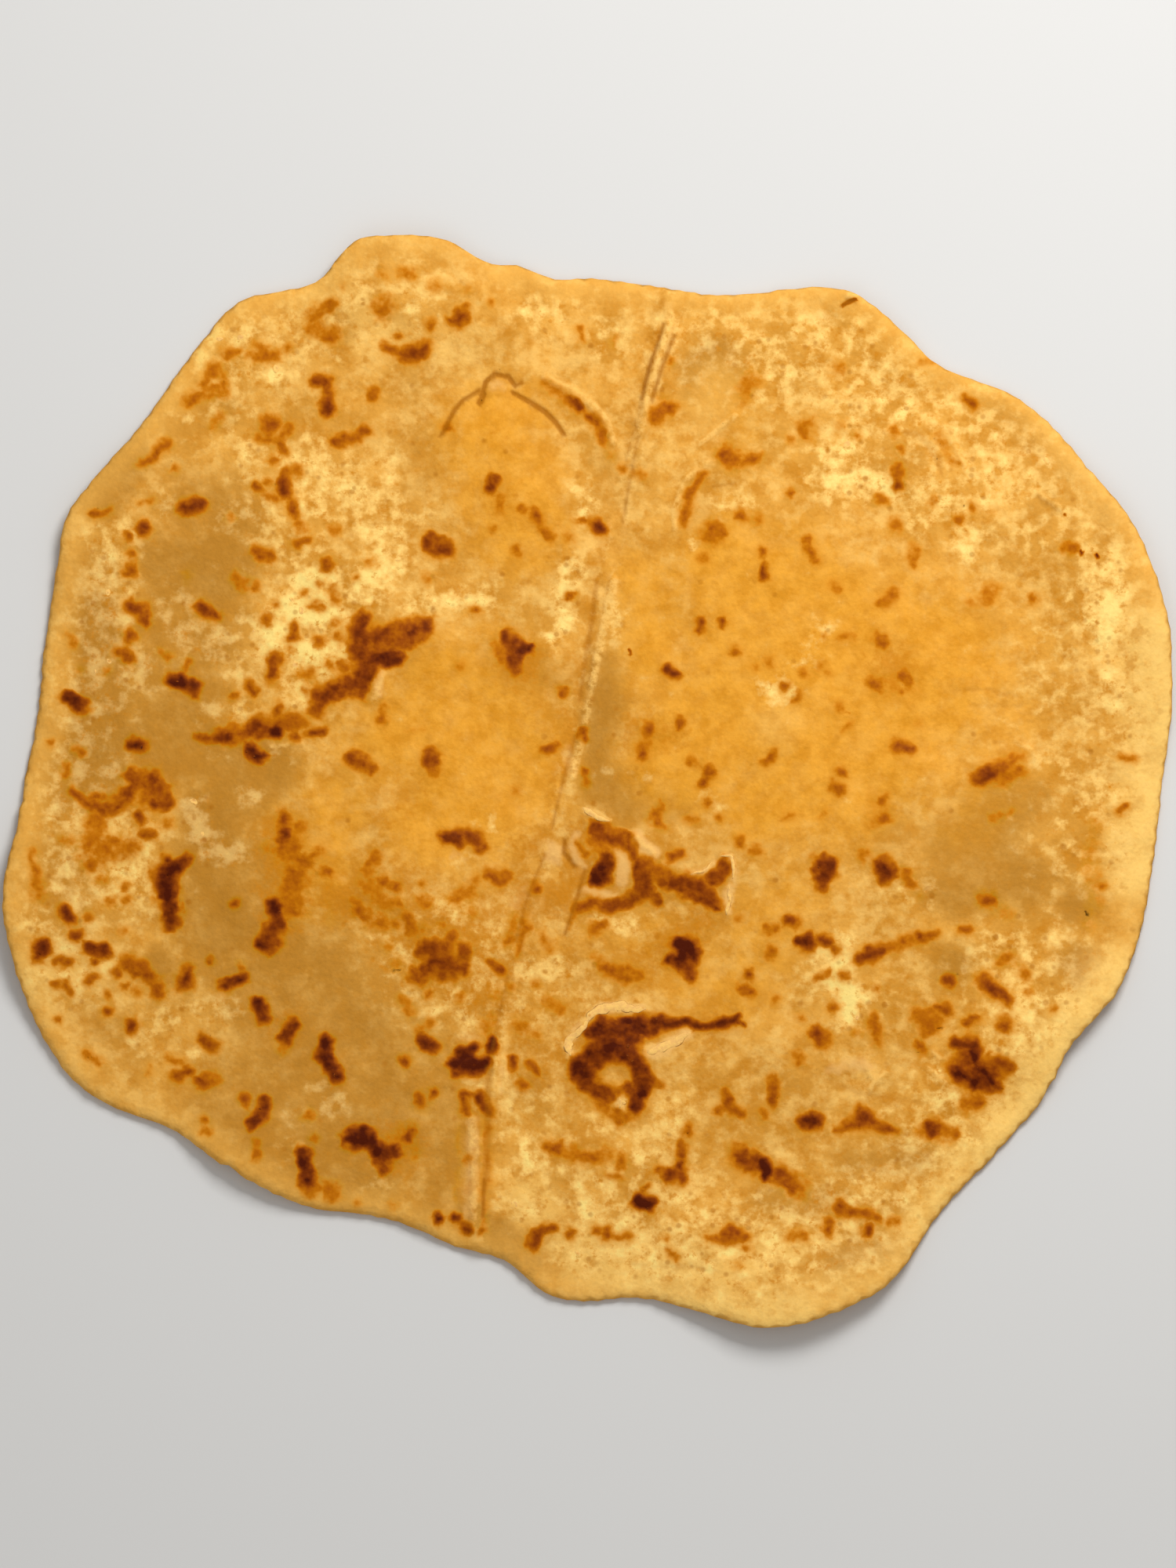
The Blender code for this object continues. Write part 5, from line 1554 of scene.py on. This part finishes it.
grain = use(tree, dough_grain, {"Coordinate": where, "Size": 1.6 * MM})
broad = noise(tree, where, size_mm=13.0, detail=4.0, roughness=0.6)
middling = noise(tree, where, size_mm=4.2, detail=5.0, roughness=0.62)
small = noise(tree, where, size_mm=1.8, detail=4.0, roughness=0.62)
elsewhere = place(tree, "ShaderNodeVectorMath", {0: where, 1: (0.7, 0.3, 0.5)}).outputs[0]
mottled = noise(tree, elsewhere, size_mm=3.4, detail=4.5, roughness=0.57)
soft = noise(tree, elsewhere, size_mm=2.6, detail=1.5, roughness=0.5)
soft_broad = noise(tree, where, size_mm=3.6, detail=2.0, roughness=0.5)
pale_broad = noise(tree, elsewhere, size_mm=9.0, detail=5.0, roughness=0.62)
fine = noise(tree, elsewhere, size_mm=0.8, detail=3.0, roughness=0.6)

# From the plain dough, through the dull and the greasy stretches, to the mottles that lie over them all.
colour = blend(tree, rise(tree, broad, 0.34, 0.66), DOUGH_TONE, SHADE_TONE)
# The dull stretches: tan dough, and painted shade over the left half.
is_dull_and_shaded = ragged(carried("dull_and_shaded"), size_mm=7.0, reach=0.60, edge=0.36)
colour = over(colour, 0.90, is_dull_and_shaded, DULL_AND_SHADED_TONE)
amber = blend(tree, rise(tree, middling, 0.35, 0.68), AMBER_TONE, DEEP_AMBER)
is_oily = ragged(carried("oily"), size_mm=9.0, reach=0.6, edge=0.40)
colour = over(colour, 0.80, is_oily, amber)
# The pale border: the edge's own lighter colour, and painted light on the right side.
is_pale_and_lit = ragged(carried("pale_and_lit"), size_mm=8.0, reach=0.5, edge=0.40)
pale_tone = blend(tree, is_dull_and_shaded, PALE_AND_LIT_TONE, DUSTY_AND_SHADED_TONE)
colour = over(colour, 0.60, is_pale_and_lit, pale_tone)
quiet = sloped(reckon(tree, "MAXIMUM", is_dull_and_shaded, is_oily), -0.84, 1.0)
toasting = carried("toasted")
toast_level = sloped(toasting, 0.26, sloped(small, 0.3, part_of(0.7, middling)))
colour = over(colour, quiet, part_of(0.55, rise(tree, toast_level, 0.45, 0.62)), MOTTLE_AND_SHADE_TONE)
pale_level = sloped(pale_broad, 0.45, part_of(0.50, mottled))
colour = over(colour, quiet, part_of(0.55, rise(tree, pale_level, 0.42, 0.58)), CREAM_TONE)

# The dry skin, with its cream, its chalky middles, and what is toasted on it.
dry_amount = carried("dry")
dry_level = sloped(dry_amount, 0.32, part_of(0.70, mottled))
is_dry = rise(tree, dry_level, 0.45, 0.62)
# Where the dough is dull the cream turns dusty: partly its own colour, partly painted shade.
cream = blend(tree, is_dull_and_shaded, CREAM_TONE, DUSTY_AND_SHADED_TONE)
bare = sloped(is_dull_and_shaded, -0.15, 1.0)
colour = over(colour, 0.82, part_of(bare, is_dry), cream)
is_chalky = rise(tree, dry_level, 0.56, 0.71)
chalk = part_of(sloped(is_dull_and_shaded, -0.85, 1.0), is_chalky)
colour = over(colour, 0.70, chalk, CHALK_TONE)
dry_specks = part_of(rise(tree, dry_amount, 0.05, 0.60), rise(tree, small, 0.56, 0.68))
colour = over(colour, 0.55, dry_specks, TOAST_TONE)
freckled = part_of(rise(tree, dry_amount, 0.10, 0.60), strewn(2.6, 0.34, 0.30))
colour = over(colour, 0.50, freckled, FRECKLE_TONE)
spotted = part_of(rise(tree, broad, 0.40, 0.62), strewn(5.2, 0.20, 0.40))
colour = over(colour, 0.60, spotted, FRECKLE_TONE)

# The toasted stretches, the halos round the marks, and the rim.
toast = rise(tree, sloped(toasting, 0.55, part_of(0.75, small)), 0.52, 0.80)
colour = over(colour, 0.70, toast, TOAST_TONE)
halo = part_of(rise(tree, carried("scorched"), 0.02, 0.70), rise(tree, mottled, 0.34, 0.58))
colour = over(colour, 0.72, halo, HALO_TONE, "DARKEN")
# Where the border is pale the rim is lighter, partly as painted light.
rim_tone = blend(tree, is_pale_and_lit, RIM_TONE, PALE_AND_LIT_TONE)
colour = over(colour, 0.5, carried("rim"), rim_tone)

# The lips of torn skin, the thin places, the ridges, the fold, and the layers that show at the side.
is_lip = ragged(carried("lipped"), size_mm=1.4, reach=1.0, edge=0.30)
colour = over(colour, 0.62, is_lip, LIP_TONE)
is_thin = ragged(carried("thin"), size_mm=2.4, reach=0.45, edge=0.34)
colour = over(colour, 0.74, is_thin, THIN_TONE)
is_ridge = part_of(rise(tree, small, 0.34, 0.62), rise(tree, carried("ridged"), 0.02, 0.24))
colour = over(colour, 0.62, is_ridge, LIP_TONE)
# Painted shade along the left side of the fold.
shaded = part_of(carried("fold_shade"), rise(tree, middling, 0.36, 0.60))
colour = over(colour, 0.50, shaded, MOTTLE_AND_SHADE_TONE)
crackle = part_of(rise(tree, carried("fold"), 0.20, 1.0), rise(tree, mottled, 0.50, 0.64))
colour = over(colour, 0.32, crackle, LIP_TONE)
creased = part_of(carried("crease"), rise(tree, small, 0.38, 0.60))
colour = over(colour, 0.70, creased, LIP_TONE)
squeezed = place(tree, "ShaderNodeVectorMath", {0: where, 1: (1, 1, 9)}, operation="MULTIPLY").outputs[0]
layers = rise(tree, noise(tree, squeezed, size_mm=3.2, detail=3.0, roughness=0.5), 0.46, 0.60)
colour = over(colour, part_of(0.50, carried("side")), layers, SHADE_TONE)
worn = sloped(fine, 0.18, sloped(small, 0.20, 0.81))
worn = place(tree, "ShaderNodeVectorMath", {"Vector": colour, "Scale": worn}, operation="SCALE")
colour = worn.outputs[0]

# The browned marks, uneven in depth, and the grooves, darkened with painted shade.
depth = carried("browned")
uneven = sloped(sloped(small, 0.3, soft_broad), 0.80, 0.51)
near_mark = rise(tree, depth, 0.02, 0.35)
swing = reckon(tree, "SUBTRACT", sloped(small, 0.5, part_of(0.5, soft)), 0.5)
depth = sloped(depth, uneven, part_of(near_mark, part_of(0.50, swing)))
brown = use(tree, browning, {"Depth": depth})
colour = blend(tree, brown["Cover"], colour, brown["Color"], "DARKEN")
# Painted shade in the grooves.
colour = over(colour, 0.80, rise(tree, carried("grooved"), 0.02, 0.55), GROOVE_SHADE_TONE)

roughness = sloped(is_oily, -0.10, sloped(is_dry, 0.16, 0.50))
looks = {"Base Color": colour, "Roughness": roughness, "Specular IOR Level": 0.02}
close_finish(tree, looks, grain, strength=0.50, height_mm=0.40)
crust.data.materials.append(fried_crust)
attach(crust, "root")
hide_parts("paratha")


# The torn skin. Where a blister burst, its thin skin dried into cream lips that stand up round the hole.
# Each lip is a low ribbon of dough along the line drawn for it, uneven along its top edge.

WELL_ABOVE = 0.05  # metres over the table, higher than any crust

def on_crust(place_x, place_y):
    """The top of the crust over a place, in metres."""
    above = Vector((place_x * MM, place_y * MM, WELL_ABOVE))
    return crust_tree.ray_cast(above, Vector((0, 0, -1)))[0].z


LIP_STEP = 0.45  # mm from ring to ring
LIP_WIDTH = 0.9  # of the width drawn
LIP_HEIGHT = 0.16  # mm
LIP_TAPER = 1.5  # over how many mm each end runs out
WAVER_ACROSS = ((-0.5, 3.2, 11), (0.25, 1.1, 51))
WAVER_ALONG = ((-0.5, 3.2, 13), (0.25, 1.1, 52))
LIP_SECTION = (  # across and up, as shares of half its width and of its height
    (-1.0, -0.5),
    (-0.8, 0.1),
    (-0.35, 0.8),
    (0.15, 1.0),
    (0.65, 0.45),
    (1.0, -0.5),
    (0.0, -0.8),
)
lip_chance = np.random.default_rng(83)
torn = bmesh.new()
for line in LIPS:
    knots = np.array(line)
    reach = np.concatenate(([0], np.cumsum(np.hypot(*np.diff(knots[:, :2], axis=0).T))))
    steps = np.linspace(0, reach[-1], max(4, round(reach[-1] / LIP_STEP)))
    along_x, along_y, half = (np.interp(steps, reach, knots[:, column]) for column in range(3))
    along_x = swells(along_x, along_y, WAVER_ACROSS, along_x)
    along_y = swells(along_x, along_y, WAVER_ALONG, along_y - LAID_NEARER)
    heading = np.arctan2(np.gradient(along_y), np.gradient(along_x))
    taper = np.sqrt(np.clip(np.minimum(steps, reach[-1] - steps) / LIP_TAPER, 0.08, 1.0))
    half = LIP_WIDTH * half * taper * (0.85 + 0.3 * wander(along_x, along_y, 1.3, 53))
    height = LIP_HEIGHT * taper * (0.8 + 0.5 * wander(along_x, along_y, 1.1, 54))
    lean = lip_chance.choice((-0.4, 0.4))
    rings = []
    for step in range(len(steps)):
        foot = on_crust(along_x[step], along_y[step])
        ring = []
        for across, up in LIP_SECTION:
            aside = across * half[step] + lean * max(up, 0) * height[step]
            corner_x = (along_x[step] - aside * math.sin(heading[step])) * MM
            corner_y = (along_y[step] + aside * math.cos(heading[step])) * MM
            ring.append(torn.verts.new((corner_x, corner_y, foot + up * height[step] * MM)))
        rings.append(ring)
    for ring, following in zip(rings, rings[1:]):
        for number in range(len(ring)):
            other = (number + 1) % len(ring)
            torn.faces.new((ring[number], ring[other], following[other], following[number]))
    torn.faces.new(rings[0])
    torn.faces.new(rings[-1])
bmesh.ops.recalc_face_normals(torn, faces=torn.faces)
torn_mesh = bpy.data.meshes.new("torn_skin")
torn.to_mesh(torn_mesh)
torn.free()
torn_mesh.shade_smooth()
torn_skin = new_piece("torn_skin", torn_mesh)

dried_skin, tree, where = new_finish("dried_skin")
grain = use(tree, dough_grain, {"Coordinate": where, "Size": 0.9 * MM})
colour = blend(tree, rise(tree, grain["Tone"], 0.35, 0.62), THIN_TONE, LIP_TONE)
colour = over(colour, 0.45, strewn(1.4, 0.36, 0.40), TOAST_TONE)
looks = {"Base Color": colour, "Roughness": 0.60, "Specular IOR Level": 0.02}
close_finish(tree, looks, grain, strength=0.5, height_mm=0.2)
torn_mesh.materials.append(dried_skin)
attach(torn_skin, "root")


# The loose flakes and the burnt crumbs. Dry skin sheds small cream flakes, and the browned tops leave
# crumbs of burnt dough beside them. Both are uneven bits of dough, strewn over the crust and half sunk in.

BIT_INPUTS = {
    "Crust": "Geometry",
    "Where": "String",
    "From": "Float",
    "Density": "Float",
    "Smallest": "Float",
    "Largest": "Float",
    "Thickness": "Float",
    "Seed": "Int",
    "Finish": "Material",
}
LONGER = 1.5  # how much longer a bit is than broad
LUMP_SIZE, LUMP_HEIGHT = 0.7, 0.5  # mm
strewn_bits, given, put = new_group("strewn bits", BIT_INPUTS, {"Bits": "Geometry"}, "GeometryNodeTree")


def out_of(kind, inputs, **settings):
    """One more node of the strewing, and what comes out of it."""
    return place(strewn_bits, kind, inputs, **settings).outputs


amount = out_of("GeometryNodeInputNamedAttribute", {"Name": given["Where"]}, data_type="FLOAT")["Attribute"]
enough = out_of("FunctionNodeCompare", {"A": amount, "B": given["From"]})[0]
ground = {"Mesh": given["Crust"], "Selection": enough, "Density": given["Density"], "Seed": given["Seed"]}
spots = out_of("GeometryNodeDistributePointsOnFaces", ground)
bit = out_of("GeometryNodeMeshIcoSphere", {"Radius": 1.0, "Subdivisions": 2})["Mesh"]
limits = {"Min": given["Smallest"], "Max": given["Largest"], "Seed": given["Seed"]}
broad_side = out_of("FunctionNodeRandomValue", limits)["Value"]
long_side = reckon(strewn_bits, "MULTIPLY", broad_side, LONGER)
thickness = reckon(strewn_bits, "MULTIPLY", broad_side, given["Thickness"])
size = out_of("ShaderNodeCombineXYZ", {"X": long_side, "Y": broad_side, "Z": thickness})[0]
laid = {"Points": spots["Points"], "Instance": bit, "Rotation": spots["Rotation"], "Scale": size}
laid = out_of("GeometryNodeInstanceOnPoints", laid)[0]
turn = out_of("FunctionNodeRandomValue", {"Min": 0.0, "Max": math.tau, "Seed": 5})["Value"]
turn = out_of("ShaderNodeCombineXYZ", {"Z": turn})[0]
turned = out_of("GeometryNodeRotateInstances", {"Instances": laid, "Rotation": turn})[0]
whole = out_of("GeometryNodeRealizeInstances", {"Geometry": turned})[0]
lumps = out_of("ShaderNodeTexNoise", {"Scale": 1 / (LUMP_SIZE * MM), "Detail": 2.0})["Color"]
lumps = out_of("ShaderNodeVectorMath", {0: lumps, 1: (0.5, 0.5, 0.5)}, operation="SUBTRACT")[0]
lumps = out_of("ShaderNodeVectorMath", {"Vector": lumps, "Scale": LUMP_HEIGHT * MM}, operation="SCALE")[0]
lumpy = out_of("GeometryNodeSetPosition", {"Geometry": whole, "Offset": lumps})[0]
finished = out_of("GeometryNodeSetMaterial", {"Geometry": lumpy, "Material": given["Finish"]})[0]
strewn_bits.links.new(finished, put["Bits"])


def strew(name, values):
    """One piece made of bits strewn over the crust, with these inputs."""
    bare_crust = new_piece(name + "_ground", crust_mesh)
    strewing = bare_crust.modifiers.new("strewn bits", "NODES")
    strewing.node_group = strewn_bits
    for socket in strewn_bits.interface.items_tree:
        if socket.in_out == "INPUT" and socket.name in values:
            strewing[socket.identifier] = values[socket.name]
    graph = bpy.context.evaluated_depsgraph_get()
    mesh = bpy.data.meshes.new_from_object(bare_crust.evaluated_get(graph))
    mesh.name = name
    bpy.data.objects.remove(bare_crust)
    piece = new_piece(name, mesh)
    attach(piece, "root")


burnt_dough, tree, where = new_finish("burnt_dough")
grain = use(tree, dough_grain, {"Coordinate": where, "Size": 0.5 * MM})
colour = blend(tree, rise(tree, grain["Tone"], 0.35, 0.65), as_seen(84, 34, 6), as_seen(140, 68, 10))
looks = {"Base Color": colour, "Roughness": 0.62, "Specular IOR Level": 0.08}
close_finish(tree, looks, grain, strength=0.6, height_mm=0.12)

PER_SQUARE_METRE = 20000.0
flakes = {"Where": "flaking", "From": 0.58, "Smallest": 0.25 * MM, "Largest": 0.75 * MM, "Thickness": 0.14}
strew("skin_flakes", {**flakes, "Density": PER_SQUARE_METRE, "Seed": 5, "Finish": dried_skin})
crumbs = {"Where": "charred", "From": 0.80, "Smallest": 0.14 * MM, "Largest": 0.36 * MM, "Thickness": 0.45}
strew("burnt_crumbs", {**crumbs, "Density": PER_SQUARE_METRE, "Seed": 10, "Finish": burnt_dough})


# The place it is shown in: a plain pale table top under soft studio light, seen from almost straight
# above. The table top and its lights are not part of the bread.

TABLE = 1.2  # half its side, in metres
floor_mesh = bpy.data.meshes.new("table_top")
corners = [(-TABLE, -TABLE, 0), (TABLE, -TABLE, 0), (TABLE, TABLE, 0), (-TABLE, TABLE, 0)]
floor_mesh.from_pydata(corners, [], [(0, 1, 2, 3)])
floor = new_piece("table_top", floor_mesh)
pale_table = bpy.data.materials.new("pale_table")
pale_table.use_nodes = True
plain = pale_table.node_tree.nodes["Principled BSDF"]
plain.inputs["Base Color"].default_value = (0.62, 0.61, 0.59, 1.0)
plain.inputs["Roughness"].default_value = 0.8
floor_mesh.materials.append(pale_table)

SEEN_FROM = math.radians(79.1)  # above the table
AWAY = 6.0
SHOWN_WIDTH = 0.2709
PICTURE_SHAPE = 0.75  # its width to its height
SENSOR = 36.0


def shine(name, bearing_deg, height_deg, away, side, power):
    """A square soft box, so many degrees round from +X and above the table, turned to the bread."""
    light = bpy.data.lights.new(name, "AREA")
    light.shape = "SQUARE"
    light.size = side
    light.energy = power
    lamp = bpy.data.objects.new(name, light)
    flat, up = math.cos(math.radians(height_deg)), math.sin(math.radians(height_deg))
    bearing = math.radians(bearing_deg)
    direction = Vector((flat * math.cos(bearing), flat * math.sin(bearing), up))
    lamp.location = away * direction
    lamp.rotation_euler = direction.to_track_quat("Z", "Y").to_euler()
    bpy.context.scene.collection.objects.link(lamp)


shine("key", bearing_deg=62, height_deg=50, away=0.85, side=0.40, power=6.2)
shine("fill", bearing_deg=250, height_deg=60, away=1.6, side=1.2, power=3.0)
world = bpy.data.worlds.new("studio")
world.use_nodes = True
world.node_tree.nodes["Background"].inputs["Color"].default_value = (0.42, 0.42, 0.42, 1.0)
bpy.context.scene.world = world
bpy.context.scene.view_settings.view_transform = "Standard"

lens = bpy.data.cameras.new("camera")
lens.sensor_width = SENSOR
lens.lens = PICTURE_SHAPE * SENSOR * AWAY / SHOWN_WIDTH
camera = bpy.data.objects.new("camera", lens)
towards_camera = Vector((0, -math.cos(SEEN_FROM), math.sin(SEEN_FROM)))
camera.location = AWAY * towards_camera
camera.rotation_euler = towards_camera.to_track_quat("Z", "Y").to_euler()
bpy.context.scene.collection.objects.link(camera)
bpy.context.scene.camera = camera
